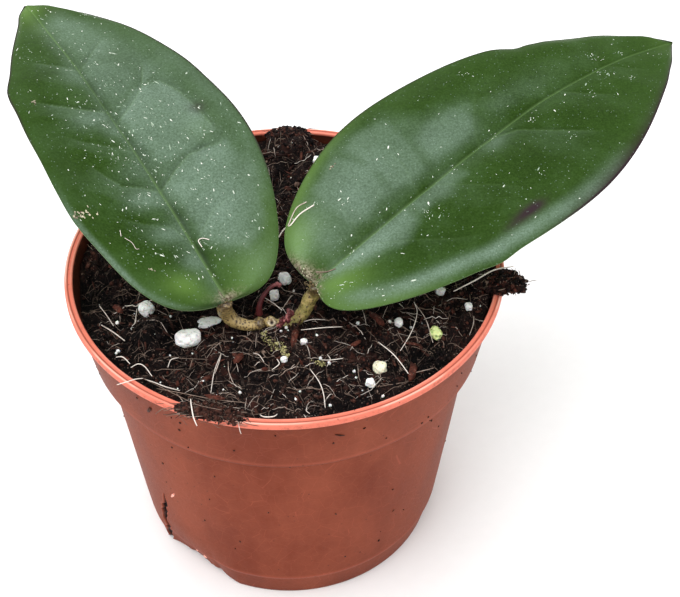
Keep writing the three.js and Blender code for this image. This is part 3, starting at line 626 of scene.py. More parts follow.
def tubes(centres, radii, sides):
    """Round strands, many at once: (strands, points, 3) middles and (strands, points) radii. Each ring is
    c + r (a cos t + b sin t), where a lies across the strand and b across both."""
    count, steps = centres.shape[:2]
    travel = unit(np.gradient(centres, axis=1))
    flattest = np.linalg.svd(centres - centres.mean(axis=1, keepdims=True))[2][:, 2]
    across = unit(np.cross(flattest[:, None, :], travel))
    other = np.cross(travel, across)
    angle = 2 * np.pi * np.arange(sides) / sides
    around = across[:, :, None, :] * np.cos(angle)[:, None] + other[:, :, None, :] * np.sin(angle)[:, None]
    places = centres[:, :, None, :] + radii[:, :, None, None] * around
    offset = (np.arange(count) * steps * sides)[:, None, None]
    quads = (strip_faces(steps, sides)[None] + offset).reshape(-1, 4)
    ring = np.arange(sides)
    starts = ring[::-1][None] + offset[:, 0]
    ends = ring[None] + (steps - 1) * sides + offset[:, 0]
    return places.reshape(-1, 3), [quads, starts, ends]


def ball(level):
    """A unit ball of triangles: an icosahedron whose faces are cut in four, level times over, and pushed
    out."""
    g = (1 + 5**0.5) / 2
    corners = np.array(
        [(-1, g, 0), (1, g, 0), (-1, -g, 0), (1, -g, 0), (0, -1, g), (0, 1, g),
         (0, -1, -g), (0, 1, -g), (g, 0, -1), (g, 0, 1), (-g, 0, -1), (-g, 0, 1)]
    )
    faces = np.array(
        [(0, 11, 5), (0, 5, 1), (0, 1, 7), (0, 7, 10), (0, 10, 11),
         (1, 5, 9), (5, 11, 4), (11, 10, 2), (10, 7, 6), (7, 1, 8),
         (3, 9, 4), (3, 4, 2), (3, 2, 6), (3, 6, 8), (3, 8, 9),
         (4, 9, 5), (2, 4, 11), (6, 2, 10), (8, 6, 7), (9, 8, 1)]
    )
    for _ in range(level):
        a, b, c = faces.T
        middles = np.vstack([corners[a] + corners[b], corners[b] + corners[c], corners[c] + corners[a]]) / 2
        kept, where = np.unique(np.round(middles, 6), axis=0, return_inverse=True)
        ab, bc, ca = where.reshape(3, -1) + len(corners)
        corners = np.vstack([corners, kept])
        smaller = ((a, ab, ca), (b, bc, ab), (c, ca, bc), (ab, bc, ca))
        faces = np.vstack([np.stack(triangle, axis=-1) for triangle in smaller])
    return unit(corners), faces


def random_turns(rng, count):
    """Rotation matrices spread evenly over all turns, from unit quaternions."""
    w, x, y, z = unit(rng.normal(size=(count, 4))).T
    return np.stack(
        [
            np.stack([1 - 2 * (y * y + z * z), 2 * (x * y - z * w), 2 * (x * z + y * w)], axis=-1),
            np.stack([2 * (x * y + z * w), 1 - 2 * (x * x + z * z), 2 * (y * z - x * w)], axis=-1),
            np.stack([2 * (x * z - y * w), 2 * (y * z + x * w), 1 - 2 * (x * x + y * y)], axis=-1),
        ],
        axis=-2,
    )


def lumps(rng, places, halves, turns=None, jitter=0.22, level=0):
    """Rough stones, many at once: each is a ball whose corners are pushed in or out at random, stretched to
    its half sizes, turned and set in its place."""
    corners, faces = ball(level)
    count = len(places)
    turns = random_turns(rng, count) if turns is None else turns
    swell = 1 + jitter * rng.uniform(-1, 1, size=(count, len(corners), 1))
    shape = corners[None] * swell * halves[:, None, :]
    shape = np.einsum("nij,nkj->nki", turns, shape) + places[:, None, :]
    offset = (np.arange(count) * len(corners))[:, None, None]
    return shape.reshape(-1, 3), [(faces[None] + offset).reshape(-1, 3)]


def joined(parts):
    """Several (places, faces) meshes as one, each face list moved on by the corners before it."""
    places, faces, before = [], [], 0
    for more, lists in parts:
        places.append(more)
        faces.extend(chunk + before for chunk in lists)
        before += len(more)
    return np.vstack(places), faces


def welded(places, faces):
    """The same mesh with the corners that share a place made one, and faces that have shrunk to nothing
    left out."""
    kept, where = np.unique(np.round(places, 4), axis=0, return_inverse=True)
    faces = [where.ravel()[chunk] for chunk in faces]
    return kept, [chunk[(chunk != np.roll(chunk, 1, axis=1)).all(axis=1)] for chunk in faces]


def add_piece(name, places, faces, finish, replaces=(), attributes=None):
    """A new mesh object from places in mm and lists of faces, with its finish, its body and the nodes it
    stands for. Its attributes are numbers from 0 to 1 for every place."""
    if not np.isfinite(places).all():
        raise LookError(f"{name} has a place that isn't a number")
    mesh = bpy.data.meshes.new(name)
    mesh.vertices.add(len(places))
    mesh.vertices.foreach_set("co", (places * MM).astype(np.float32).ravel())
    sizes = np.concatenate([np.full(len(chunk), chunk.shape[1]) for chunk in faces])
    corners = np.concatenate([np.ascontiguousarray(chunk).ravel() for chunk in faces]).astype(np.int32)
    mesh.loops.add(len(corners))
    mesh.loops.foreach_set("vertex_index", corners)
    mesh.polygons.add(len(sizes))
    mesh.polygons.foreach_set("loop_start", np.concatenate([[0], np.cumsum(sizes)[:-1]]).astype(np.int32))
    mesh.update(calc_edges=True)
    if mesh.validate():
        raise LookError(f"{name} has faces that Blender had to mend")
    mesh.polygons.foreach_set("use_smooth", np.full(len(sizes), True))
    for title, values in (attributes or {}).items():
        layer = mesh.attributes.new(title, "FLOAT", "POINT")
        layer.data.foreach_set("value", np.clip(values, 0, 1).astype(np.float32).ravel())
    piece = bpy.data.objects.new(name, mesh)
    bpy.context.scene.collection.objects.link(piece)
    mesh.materials.append(finish)
    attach(piece, BODY)
    if replaces:
        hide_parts(*replaces)


def add_toned(name, parts, finish):
    """A piece of many small bodies. Each part is a mesh of bodies alike and a tone for each of them."""
    places, faces = joined([mesh for mesh, _ in parts])
    tones = [np.repeat(tone, len(mesh[0]) // len(tone)) for mesh, tone in parts]
    add_piece(name, places, faces, finish, attributes={"tone": np.concatenate(tones)})


# Finishes


class Finish:
    """A node material while it is being made: one Principled surface, a base colour laid on in coats, and
    helpers for the nodes that feed them."""

    def __init__(self, name, **numbers):
        self.material = bpy.data.materials.new(name)
        self.material.use_nodes = True
        self.tree = self.material.node_tree
        self.surface = self.tree.nodes["Principled BSDF"]
        for socket, value in numbers.items():
            self.surface.inputs[socket.replace("_", " ")].default_value = value
        self.place = self.tree.nodes.new("ShaderNodeTexCoord").outputs["Object"]
        self.base = None

    def node(self, kind, inputs, **settings):
        """A node with its settings and inputs, each input a number, a colour or another node's output."""
        made = self.tree.nodes.new(kind)
        for setting, value in settings.items():
            setattr(made, setting, value)
        for socket, value in inputs.items():
            if isinstance(value, bpy.types.NodeSocket):
                self.tree.links.new(value, made.inputs[socket])
            else:
                made.inputs[socket].default_value = value
        return made

    def mark(self, title, share=None):
        """A value that the mesh carries at its points, or a share of it."""
        value = self.node("ShaderNodeAttribute", {}, attribute_name=title).outputs["Fac"]
        return value if share is None else self.times(value, share)

    def grain(self, size, detail=3.0, rough=0.55, stretch=(1, 1, 1)):
        """Noise from 0 to 1 whose bumps are about size mm across, drawn out by stretch."""
        drawn = self.node("ShaderNodeVectorMath", {0: self.place, 1: stretch}, operation="MULTIPLY")
        inputs = {"Vector": drawn.outputs[0], "Scale": 1 / (size * MM), "Detail": detail, "Roughness": rough}
        return self.node("ShaderNodeTexNoise", inputs).outputs["Fac"]

    def cells(self, size, feature="F1"):
        """Distance to scattered points about size mm apart."""
        inputs = {"Vector": self.place, "Scale": 1 / (size * MM)}
        return self.node("ShaderNodeTexVoronoi", inputs, feature=feature).outputs["Distance"]

    def span(self, value, low, high, start=0.0, end=1.0):
        """A value carried from low..high to start..end and held there."""
        inputs = {0: value, 1: low, 2: high, 3: start, 4: end}
        return self.node("ShaderNodeMapRange", inputs, clamp=True).outputs[0]

    def patches(self, size, low, high, start=0.0, end=1.0, detail=3.0, rough=0.55):
        """Grain of a size, carried from low..high to start..end."""
        return self.span(self.grain(size, detail, rough), low, high, start, end)

    def dots(self, size, low, high, strength=1.0):
        """Dots about size mm apart, full within low of their middles and gone at high."""
        return self.span(self.cells(size), low, high, strength, 0.0)

    def times(self, first, second):
        """Two values multiplied."""
        return self.node("ShaderNodeMath", {0: first, 1: second}, operation="MULTIPLY").outputs[0]

    def plus(self, first, second):
        """Two values added."""
        return self.node("ShaderNodeMath", {0: first, 1: second}, operation="ADD").outputs[0]

    def blend(self, share, first, second):
        """Two colours mixed by a share."""
        inputs = {0: share, 6: opaque(first), 7: opaque(second)}
        return self.node("ShaderNodeMix", inputs, data_type="RGBA").outputs[2]

    def ground(self, share, first, second):
        """Starts the base colour as two colours mixed by a share."""
        self.base = self.blend(share, first, second)

    def coat(self, share, colour):
        """Lays a colour over the base, thickest where the share is 1."""
        self.base = self.blend(share, self.base, colour)

    def grazing(self, blend):
        """1 where the surface turns away from the eye and 0 where it faces it."""
        return self.node("ShaderNodeLayerWeight", {"Blend": blend}).outputs["Facing"]

    def rough(self, value):
        """Feeds the roughness."""
        self.tree.links.new(value, self.surface.inputs["Roughness"])

    def bump(self, height, depth, strength=1.0):
        """Feeds the normal with a height from 0 to 1, which stands depth mm high."""
        inputs = {"Height": height, "Distance": depth * MM, "Strength": strength}
        self.tree.links.new(self.node("ShaderNodeBump", inputs).outputs[0], self.surface.inputs["Normal"])

    def done(self):
        """Feeds the base colour, and gives the material."""
        self.tree.links.new(self.base, self.surface.inputs["Base Color"])
        return self.material


def opaque(colour):
    """A colour with its alpha, or a node's output left as it is."""
    return colour if isinstance(colour, bpy.types.NodeSocket) else (*tuple(colour)[:3], 1.0)


def shade(colour, share):
    """A colour made darker or lighter."""
    return tuple(min(1.0, v * share) for v in tuple(colour)[:3])


def leaf_finish(settings):
    """Waxy leaf skin: deep green, paler veins, grey-green painted sheen, painted shade beside the veins,
    yellow-green young tissue, purple margin and fine specks."""
    made = Finish("leaf_skin", Roughness=0.4, IOR=1.45, Specular_IOR_Level=0.05)
    deep = settings.deep
    mottle = made.grain(9.0, 4.0, 0.6)
    fine = made.grain(0.42, 4.0, 0.65)
    made.ground(made.span(mottle, 0.35, 0.7), shade(deep, 0.85), shade(deep, 1.25))
    made.coat(made.span(fine, 0.42, 0.68, 0.0, 0.55), settings.mid)
    made.coat(made.patches(0.9, 0.54, 0.7, 0.0, 0.5, 3.0, 0.6), shade(deep, 0.72))
    made.coat(made.mark("mid", 0.75), settings.mid)
    made.coat(made.mark("young"), settings.young)
    made.coat(made.mark("shadow"), shade(deep, 0.6))
    # Painted sheen: the light's reflection laid on as a pale grey-green, thinner or thicker with the noise
    wax_and_sheen = made.plus(made.mark("bloom_and_sheen"), made.span(mottle, 0.3, 0.7, -0.06, 0.06))
    wax_and_sheen = made.times(made.times(wax_and_sheen, settings.bloom_and_sheen_strength), made.span(fine, 0.3, 0.7, 0.55, 1.35))
    made.coat(wax_and_sheen, settings.bloom_and_sheen)
    made.coat(made.mark("vein", 0.6), settings.vein)
    made.coat(made.mark("purple"), settings.purple)
    made.coat(made.dots(0.9, 0.06, 0.17, 0.5), settings.bloom_and_sheen)
    crust = made.times(made.mark("crust"), made.patches(1.1, 0.36, 0.52, detail=4.0, rough=0.7))
    made.coat(crust, made.blend(made.span(fine, 0.38, 0.62), settings.crust_dark, settings.crust_light))
    made.coat(made.mark("under"), settings.under)
    made.rough(made.plus(made.span(fine, 0.2, 0.8, 0.34, 0.5), made.mark("under", 0.15)))
    height = made.plus(made.plus(fine, made.times(made.grain(1.7), 1.2)), made.times(crust, 3.0))
    made.bump(height, 0.05, 0.55)
    return made.done()


def fleck_finish():
    """Dried lime: off white, and thin enough in places for the green to show."""
    made = Finish("lime_flecks", Roughness=0.75)
    tone = made.plus(made.mark("tone"), made.patches(0.3, 0.3, 0.7, -0.3, 0.3))
    made.ground(made.span(tone, 0.15, 0.75), paint(150, 172, 148), paint(236, 242, 228))
    return made.done()


def cork_finish(name, dark, light, size=0.5):
    """Rough corky tissue or bark, dark in its hollows."""
    made = Finish(name, Roughness=0.78, IOR=1.4)
    tone = made.plus(made.grain(size, 4.0, 0.65), made.mark("tone", 0.5))
    made.ground(made.span(tone, 0.45, 1.1), dark, light)
    made.bump(made.grain(size * 0.5, 4.0, 0.7), 0.1)
    return made.done()


def pot_finish(settings):
    """Thin moulded plastic: warm red-brown, with fading and dust in broad clouds, fine scratches and dirt
    near the lip. Painted sheen where the wall turns from the eye; the lip painted lighter where light falls
    on it, with painted highlights on its edges and on two rings of the wall; painted shade in the lip's
    groove, under the band's edges and inside the pot, and nearly black in the crack."""
    made = Finish("pot_plastic_red", Roughness=0.48, IOR=1.46, Specular_IOR_Level=0.08)
    clouds = made.grain(16.0, 4.0, 0.6, (1, 1, 0.55))
    streaks = made.grain(2.2, 3.0, 0.6, (1, 1, 0.12))
    fine = made.grain(0.5, 4.0, 0.65)
    made.ground(made.span(clouds, 0.36, 0.68), settings.colour, settings.faded_and_sheen)
    made.coat(made.span(streaks, 0.45, 0.75, 0.0, 0.16), settings.faded_and_sheen)
    made.coat(made.span(fine, 0.35, 0.7, 0.0, 0.12), shade(settings.colour, 0.7))
    # Painted sheen: the paler plastic colour where the wall turns away from the eye
    made.coat(made.times(made.grazing(0.25), 0.18), settings.faded_and_sheen)
    # Painted light: the lip lighter on its top, and painted highlights on two rings of the wall
    made.coat(made.mark("lip"), settings.lip)
    scratches = made.cells(3.4, "DISTANCE_TO_EDGE")
    made.coat(made.span(scratches, 0.0, 0.012, 0.13, 0.0), settings.lip)
    dust = made.times(made.mark("dust"), made.patches(1.6, 0.5, 0.8, detail=5.0, rough=0.7))
    made.coat(dust, settings.dirt)
    made.coat(made.times(made.dots(2.3, 0.05, 0.10, 0.75), made.span(clouds, 0.4, 0.55)), settings.dirt)
    # Painted shade: the inside of the wall above the mix darkened in patches
    inner_shade = made.times(made.mark("inner_shade"), made.patches(1.8, 0.3, 0.5, 0.6, 1.0, 4.0, 0.7))
    made.coat(inner_shade, shade(settings.dirt, 0.5))
    # Painted shade: a darker copy of the plastic in the lip's groove, under the band's edges and inside
    made.coat(made.mark("line"), shade(settings.colour, 0.42))
    # Painted shade: the crack nearly black
    made.coat(made.mark("crack"), paint(24, 16, 15))
    made.coat(made.mark("shine"), paint(255, 214, 196))
    made.rough(made.span(made.plus(fine, clouds), 0.7, 1.3, 0.42, 0.6))
    made.bump(made.plus(made.times(fine, 0.6), made.times(streaks, 0.6)), 0.06, 0.5)
    return made.done()


def mix_finish(settings):
    """Damp peat and bark: brown crumbs and reddish bits, with painted shade, nearly black, in the hollows.
    """
    made = Finish("mix_peat", Roughness=0.6, IOR=1.4, Specular_IOR_Level=0.1)
    fine = made.grain(0.45, 4.0, 0.7)
    made.ground(made.patches(2.0, 0.38, 0.64, detail=5.0, rough=0.7), settings.peat_dark, settings.peat)
    made.coat(made.span(fine, 0.54, 0.7, 0.0, 0.85), settings.peat_light)
    made.coat(made.patches(4.0, 0.56, 0.7, 0.0, 0.5), settings.bark)
    # Painted shade: nearly black in the hollows and the dark patches
    made.coat(made.mark("hollow"), shade(settings.peat_dark, 0.4))
    chaff = made.times(made.dots(0.55, 0.12, 0.3), made.patches(1.3, 0.48, 0.62, detail=2.0))
    made.coat(made.times(chaff, 0.75), settings.fibre)
    made.bump(made.plus(fine, made.grain(1.1, 4.0, 0.7)), 0.35)
    return made.done()


def crumb_finish(settings, name="mix_crumbs", bark_gain=1.0):
    """Crumbs of the mix, each with its own tone from black peat to red bark."""
    made = Finish(name, Roughness=0.6, IOR=1.4, Specular_IOR_Level=0.1)
    tone = made.mark("tone")
    made.ground(made.span(tone, 0.05, 0.55), settings.peat_dark, settings.peat_light)
    made.coat(made.span(tone, 0.6, 0.85), shade(settings.bark, bark_gain))
    made.coat(made.span(tone, 0.93, 0.99), settings.fibre)
    made.coat(made.patches(0.6, 0.4, 0.65, 0.0, 0.8, 4.0, 0.7), settings.peat_dark)
    chaff = made.times(made.dots(0.5, 0.14, 0.32), made.patches(1.4, 0.46, 0.6, detail=2.0))
    made.coat(made.times(chaff, 0.6), settings.fibre)
    made.bump(made.grain(0.35, 4.0, 0.7), 0.15)
    return made.done()


def strand_finish(settings):
    """Roots and fibres, from dark brown to cream, blotched along their length."""
    made = Finish("mix_strands", Roughness=0.6, IOR=1.45, Specular_IOR_Level=0.2)
    tone = made.plus(made.mark("tone"), made.patches(1.6, 0.3, 0.7, -0.14, 0.14))
    made.ground(made.span(tone, 0.0, 0.5), settings.peat, settings.fibre)
    made.coat(made.span(tone, 0.5, 0.95), settings.root)
    made.bump(made.grain(0.3), 0.05)
    return made.done()


def perlite_finish(name, colour, stain, stained=0.3):
    """Puffed glass: bright white, with pores and a little soil rubbed into them."""
    made = Finish(name, Roughness=0.7, IOR=1.5, Subsurface_Weight=0.15, Subsurface_Scale=0.0008)
    pores = made.cells(0.75)
    fine = made.grain(0.5, 4.0, 0.7)
    made.ground(made.span(fine, 0.3, 0.7), shade(colour, 0.9), colour)
    made.coat(made.span(pores, 0.05, 0.45 * stained + 0.1, min(1.0, stained * 1.2), 0.0), stain)
    made.coat(made.times(made.mark("low"), made.span(fine, 0.3, 0.6)), stain)
    made.bump(made.plus(made.span(pores, 0.0, 0.5), made.times(fine, 0.5)), 0.25)
    return made.done()


def stem_finish(settings):
    """Petiole skin: ochre to olive green, thickly specked with dark brown cork, ringed where it bends."""
    made = Finish("petiole_skin", Roughness=0.3, IOR=1.5, Specular_IOR_Level=0.7)
    made.ground(made.mark("olive"), settings.petiole, settings.petiole_olive)
    made.coat(made.patches(2.2, 0.4, 0.65, 0.0, 0.5), shade(settings.petiole, 0.66))
    # Painted glints: pale patches of a lighter copy of the skin
    made.coat(made.patches(0.8, 0.45, 0.7, 0.0, 0.7), shade(settings.petiole, 1.45))
    specks = made.times(made.dots(0.5, 0.3, 0.5), made.patches(0.9, 0.42, 0.5, detail=2.0))
    made.coat(made.times(specks, 0.9), settings.cork)
    made.coat(made.times(made.mark("cork"), made.patches(0.6, 0.25, 0.55, detail=4.0)), settings.cork)
    made.bump(made.plus(made.grain(0.45, 4.0), made.grain(1.2, 2.0)), 0.14)
    return made.done()


def shoot_finish(settings):
    """Young shoot skin: glossy maroon, paler and pink at the growing tips, with painted glints on the right
    one.
    """
    made = Finish("shoot_skin", Roughness=0.35, IOR=1.45, Specular_IOR_Level=0.3)
    made.ground(made.patches(1.1, 0.35, 0.7), settings.shoot, shade(settings.shoot, 1.9))
    # The pink of the growing tips, and painted glints on the right shoot
    made.coat(made.mark("tip"), settings.shoot_tip_and_glint)
    made.bump(made.grain(0.4), 0.06)
    return made.done()


def stub_finish():
    """The stub's pale bark, dark in its sunken end."""
    made = Finish("cut_stub", Roughness=0.6)
    made.ground(made.patches(0.7, 0.4, 0.6, detail=4.0), paint(120, 96, 62), paint(226, 212, 178))
    made.coat(made.mark("inner"), paint(46, 30, 24))
    made.bump(made.grain(0.4, 4.0), 0.08)
    return made.done()


def sliver_finish(settings):
    """Torn plastic, whitened where it has stretched."""
    made = Finish("torn_plastic", Roughness=0.6)
    made.ground(made.patches(0.6, 0.3, 0.7), settings.lip, paint(250, 205, 185))
    return made.done()


def floor_finish(colour):
    """The stage: matt near-white card with a trace of tooth."""
    made = Finish("floor_card", Roughness=0.9, IOR=1.3)
    made.ground(made.patches(3.0, 0.3, 0.7), shade(colour, 0.985), colour)
    return made.done()


# Pot


def foot_shape(angle):
    """The share of the foot's chip at each angle in degrees, read from its table and made ragged by
    noise."""
    share = np.interp(angle % 360, *np.array(CHIP).T)
    return np.clip(share * (1 + 0.16 * cloudy(on_a_line(angle * 0.6), 3.0, 3, CHIP_SEED)), 0, 1.15)


def crack_at(height):
    """The crack's angle and half width at each height, read from its table."""
    angles, heights = np.array(CRACK)[::-1].T
    open_end = 1 - smooth(heights[-1] - 1, heights[-1] + 0.1, height)
    return np.interp(height, heights, angles), np.interp(height, heights, CRACK_HALF[::-1]) * open_end


def dented(places, flare=1.0):
    """Pot places after its knocks: near the foot, by the chip's share s and below the foot line, each place
    moves in by push s and up by rise s, and the wall just before the crack flares out. Both fade smoothly
    upwards."""
    x, y, height = places.T
    radius = np.hypot(x, y)
    angle = np.degrees(np.arctan2(y, x)) % 360
    share = foot_shape(angle)
    outer = smooth(DISC_RADIUS, 31.0, radius)
    push = CHIP_PUSH * share * outer * (1 - smooth(0.0, 15.0, height))
    seam, _ = crack_at(np.clip(height, 0, CRACK[0][1]))
    before = smooth(-17.0, -1.0, angle - seam) * (angle < seam)
    push = push - flare * CRACK_FLARE * before * outer * (1 - smooth(3.0, 25.0, height))
    rise = CHIP_RISE * share * smooth(28.5, 31.0, radius) * (1 - smooth(0.0, FOOT_LINE, height))
    scale = 1 - push / np.maximum(radius, 1e-6)
    return np.column_stack([x * scale, y * scale, height + rise])


def finely(profile, step):
    """A profile cut so that no stretch is longer than step."""
    out = []
    for (r0, z0), (r1, z1) in zip(profile, profile[1:]):
        count = max(1, int(np.ceil(np.hypot(r1 - r0, z1 - z0) / step)))
        share = np.arange(count)[:, None] / count
        out.append(np.array([(r0, z0)]) * (1 - share) + np.array([(r1, z1)]) * share)
    return np.vstack([*out, np.array([profile[-1]])])


def wall_inside(height):
    """Radius of the band's inner face at a height."""
    return mixed(BAND_FOOT_RADIUS, BAND_TOP_RADIUS, (height - BAND_FOOT) / (BAND_TOP - BAND_FOOT)) - WALL


def pot_section():
    """The wall's section from the foot's inner edge, up the outside, over the lip and down the inside, cut
    finely outside and most finely at the lip."""
    lip = (*LIP, (wall_inside(67.5), 67.5))
    inside = ((wall_inside(54.5), 54.5), (38.2, BAND_FOOT), (32.8, FOOT_LINE), (31.1, FLOOR_TOP))
    upper = OUTSIDE[-1:] + lip
    return np.vstack([finely(OUTSIDE, 0.8)[:-1], finely(upper, 0.4)[:-1], finely(lip[-1:] + inside, 3.0)])


def around_angles():
    """Angles for the turned wall, closer together where the crack and the chipped foot are."""
    angle = np.linspace(0, 360, 2881)
    near = 1 + 5.0 * bell(angle - 217.0, 7.0) + 1.2 * bell(angle - 230.0, 16.0)
    total = np.concatenate([[0], np.cumsum((near[1:] + near[:-1]) / 2)])
    return np.interp(np.arange(WALL_COLUMNS) * total[-1] / WALL_COLUMNS, total, angle)


def ring_plate():
    """The pot's floor between its middle disc and its wall, in eight sectors with a drain hole each. In a
    sector the lower skin is a grid between the hole's circle and the sector's edge, the upper skin is the
    same grid higher up, and short walls join the two at the hole and along both arcs."""
    half = np.pi / HOLE_COUNT
    arc = np.linspace(-half, half, ARC_STEPS + 1)
    side = np.linspace(PLATE_OUTER, PLATE_INNER, SIDE_STEPS + 1)[1:-1]
    ends = np.full(ARC_STEPS + 1, 1.0)
    radius = np.concatenate([PLATE_OUTER * ends, side, PLATE_INNER * ends, side[::-1]])
    turn = np.concatenate([arc, np.full(len(side), half), arc[::-1], np.full(len(side), -half)])
    edge = np.column_stack(polar(radius, turn))
    middle = np.array([HOLE_CIRCLE, 0.0])
    circle = middle + HOLE_RADIUS * unit(edge - middle)
    count = len(edge)
    share = np.linspace(0, 1, SKIN_ROWS)[:, None, None]
    skin = (circle[None] * (1 - share) + edge[None] * share).reshape(-1, 2)
    top = len(skin)
    lower, upper = (np.column_stack([skin, np.full(top, level)]) for level in (CHANNEL_DEPTH, FLOOR_TOP))
    j = np.arange(count)
    k = (j + 1) % count
    well = np.stack([k, j, j + top, k + top], axis=-1)
    last = (SKIN_ROWS - 1) * count
    inner_arc = ARC_STEPS + len(side) + 1
    arcs = (j < ARC_STEPS) | ((j >= inner_arc) & (j < inner_arc + ARC_STEPS))
    rim = np.stack([last + j, last + k, last + k + top, last + j + top], axis=-1)[arcs]
    quads = strip_faces(SKIN_ROWS, count)
    faces = [quads, quads[:, ::-1] + top, well, rim]
    sector = np.vstack([lower, upper])
    turns = [(hole + 0.5) * 2 * half for hole in range(HOLE_COUNT)]
    return welded(*joined([(sector @ about(2, turn).T, faces) for turn in turns]))


def turned(section, angle, poles):
    """A section turned about the axis. Its two ends are poles on the axis, or it closes on itself."""
    rows, columns = len(section), len(angle)
    places = rings(section, angle)
    if not poles:
        return places, [strip_faces(rows + 1, columns) % (rows * columns)]
    ends = np.array([[0, 0, section[0, 1]], [0, 0, section[-1, 1]]])
    return np.vstack([places, ends]), capped_faces(rows, columns)


def make_pot(settings):
    """The pot: its wall's section turned about the axis, with the crack, the flare beside it and the
    chipped foot, then the middle disc of the floor and the ring of drain holes round it."""
    angle = around_angles()
    section = pot_section()
    outer_rows = int(np.argmax(section[:, 1] > 69.85))
    rows, columns = len(section), len(angle)
    shape, faces = turned(section, np.radians(angle), False)
    r, z = np.repeat(section, columns, axis=0).T
    a = np.tile(angle, rows)
    outer = np.repeat(np.arange(rows) < outer_rows, columns) & (r > 31)
    seam, half = crack_at(z)
    seam = seam + 0.75 * noise(on_a_line(z / 1.3), 17) * (z < 26)
    steady, _ = crack_at(14.0)
    reach = bell(a - steady, 9.0) * (1 - smooth(24.0, 28.6, z)) * (r > 31)
    a = a + (seam - steady) * reach
    beside = np.abs(np.radians(a - seam) * r)
    cut = (1 - smooth(0.75, 1.3, beside / np.maximum(half, 0.02))) * (half > 0.03) * outer
    edge = bell(beside - half - 0.25, 0.25) * (half > 0.05) * outer
    uneven = noise(shape / 16.0, 5) * 0.10 + noise(shape / 5.0, 6) * 0.015
    ring = r - CRACK_DEPTH * cut + 0.10 * edge + uneven * smooth(2.0, 12.0, z) * (1 - smooth(60.0, 68.0, z))
    wall = dented(np.column_stack([*polar(ring, np.radians(a)), z]))

    on_lip = smooth(68.45, 68.62, z) * (r > 43.2)
    inner = smooth(69.75, 69.4, z) * (~outer & (z > 56.0) & (r < 43.5))
    # Painted shade in the lip's groove, under the band's foot and the lip, and on the inner wall
    line = 0.75 * bell(r - 44.3, 0.12) * (z > 69.7)
    line = line + 0.40 * bell(z - BAND_FOOT - 0.1, 0.3) * (r > 40.2) * outer
    line = line + 0.12 * bell(z - BAND_FOOT + 1.0, 1.5) * outer
    line = line + 0.30 * smooth(66.2, 68.4, z) * (1 - on_lip) * outer + 0.5 * inner
    # Painted highlights along the foot line and the band's foot
    edge_highlight = 0.16 * bell(z - 7.3, 0.35) + 0.10 * bell(z - BAND_FOOT - 0.9, 0.5)
    patchy = 0.25 + 0.75 * smooth(-0.3, 0.4, noise(on_a_line(a / 9.0), 19))
    marks = {
        # The lip lighter, painted light on its top, with the painted highlights
        "lip": 0.85 * on_lip + edge_highlight * outer + 0.12 * edge,
        "line": line,
        # Painted shade in the crack
        "crack": 1.5 * cut,
        "dust": 0.35 * smooth(60.0, 68.0, z) * outer + 0.25 * on_lip + 0.25 * (1 - smooth(0, 6, z)),
        "shine": (0.8 * bell(r - 44.75, 0.12) + 0.25 * bell(r - 43.55, 0.12)) * (z > 69.6) * patchy,
        # Painted shade inside the wall above the mix
        "inner_shade": inner,
    }
    disc, disc_faces = turned(finely(DISC, 2.0), np.radians(angle[::5]), True)
    plate, plate_faces = ring_plate()
    places, faces = joined([(wall, faces), (dented(disc), disc_faces), (dented(plate), plate_faces)])
    more = np.zeros(len(places) - len(wall))
    marks = {key: np.append(value, more + 0.25 * (key == "dust")) for key, value in marks.items()}
    add_piece("plant_pot", places, faces, pot_finish(settings), ["pot"], marks)


def on_wall(angle, height):
    """Places on the outside of the pot's wall and the directions out and round there."""
    band = [(BAND_TOP_RADIUS, BAND_TOP), (BAND_TOP_RADIUS, RIM_TOP)]
    radii, heights = np.array([row for row in OUTSIDE if row[0] > 31.9] + band).T
    turn = np.radians(angle)
    slope = (np.interp(height + 1, heights, radii) - np.interp(height - 1, heights, radii)) / 2
    out = np.stack([np.cos(turn), np.sin(turn), -slope], axis=-1)
    places = np.stack([*polar(np.interp(height, heights, radii), turn), height], axis=-1)
    return dented(places), unit(out), np.stack([-np.sin(turn), np.cos(turn), 0 * turn], axis=-1)


def wall_marks(rows):
    """Thin lumps pressed on the wall: each is turned from upright by its last number."""
    angle, height, length, width, lean = np.array(rows, float).T
    middle, out, round_ = on_wall(angle, height)
    lean = np.radians(lean)[:, None]
    along = np.cross(out, round_) * np.cos(lean) + round_ * np.sin(lean)
    turns = np.stack([along, np.cross(along, out), out], axis=-1)
    return middle + 0.06 * out, np.column_stack([length / 2, width / 2, np.full(len(out), 0.16)]), turns


def make_wall_dirt(settings, mix):
    """Specks of mix stuck to the wall, some named and some scattered, and pale slivers of torn plastic by
    the crack."""
    rng = np.random.default_rng(WALL_SEED)
    count = settings.speck_count
    angle, height = rng.uniform(0, 360, count), 3 + 64 * rng.uniform(0, 1, count) ** 0.7
    length, width = rng.uniform(0.25, 0.75, count), rng.uniform(0.2, 0.36, count)
    scattered = np.column_stack([angle, height, length, width, rng.uniform(0, 180, count)])
    middle, halves, turns = wall_marks(np.vstack([WALL_DIRT, scattered]))
    specks = (lumps(rng, middle, halves, turns, 0.3), rng.uniform(0.0, 0.75, len(middle)))
    add_toned("wall_dirt", [specks], crumb_finish(mix))
    middle, halves, turns = wall_marks(WALL_SLIVERS)
    places, faces = lumps(rng, middle, halves * (1, 1, 1.6), turns, 0.2, 1)
    add_piece("torn_slivers", places, faces, sliver_finish(settings))


# Potting mix


def soil_height(x, y):
    """The ground's height: a level, a bell for each swell, and two crossing ripples."""
    height = SOIL_LEVEL + 0.0 * x
    for east, north, reach, rise in SWELLS:
        height = height + rise * np.exp(-((x - east) ** 2 + (y - north) ** 2) / reach**2)
    height = height + SOIL_RIPPLE * np.sin(0.55 * x + 0.9) * np.cos(0.48 * y - 0.4)
    return height + SOIL_RIPPLE * np.sin(0.95 * x - 0.7 * y)


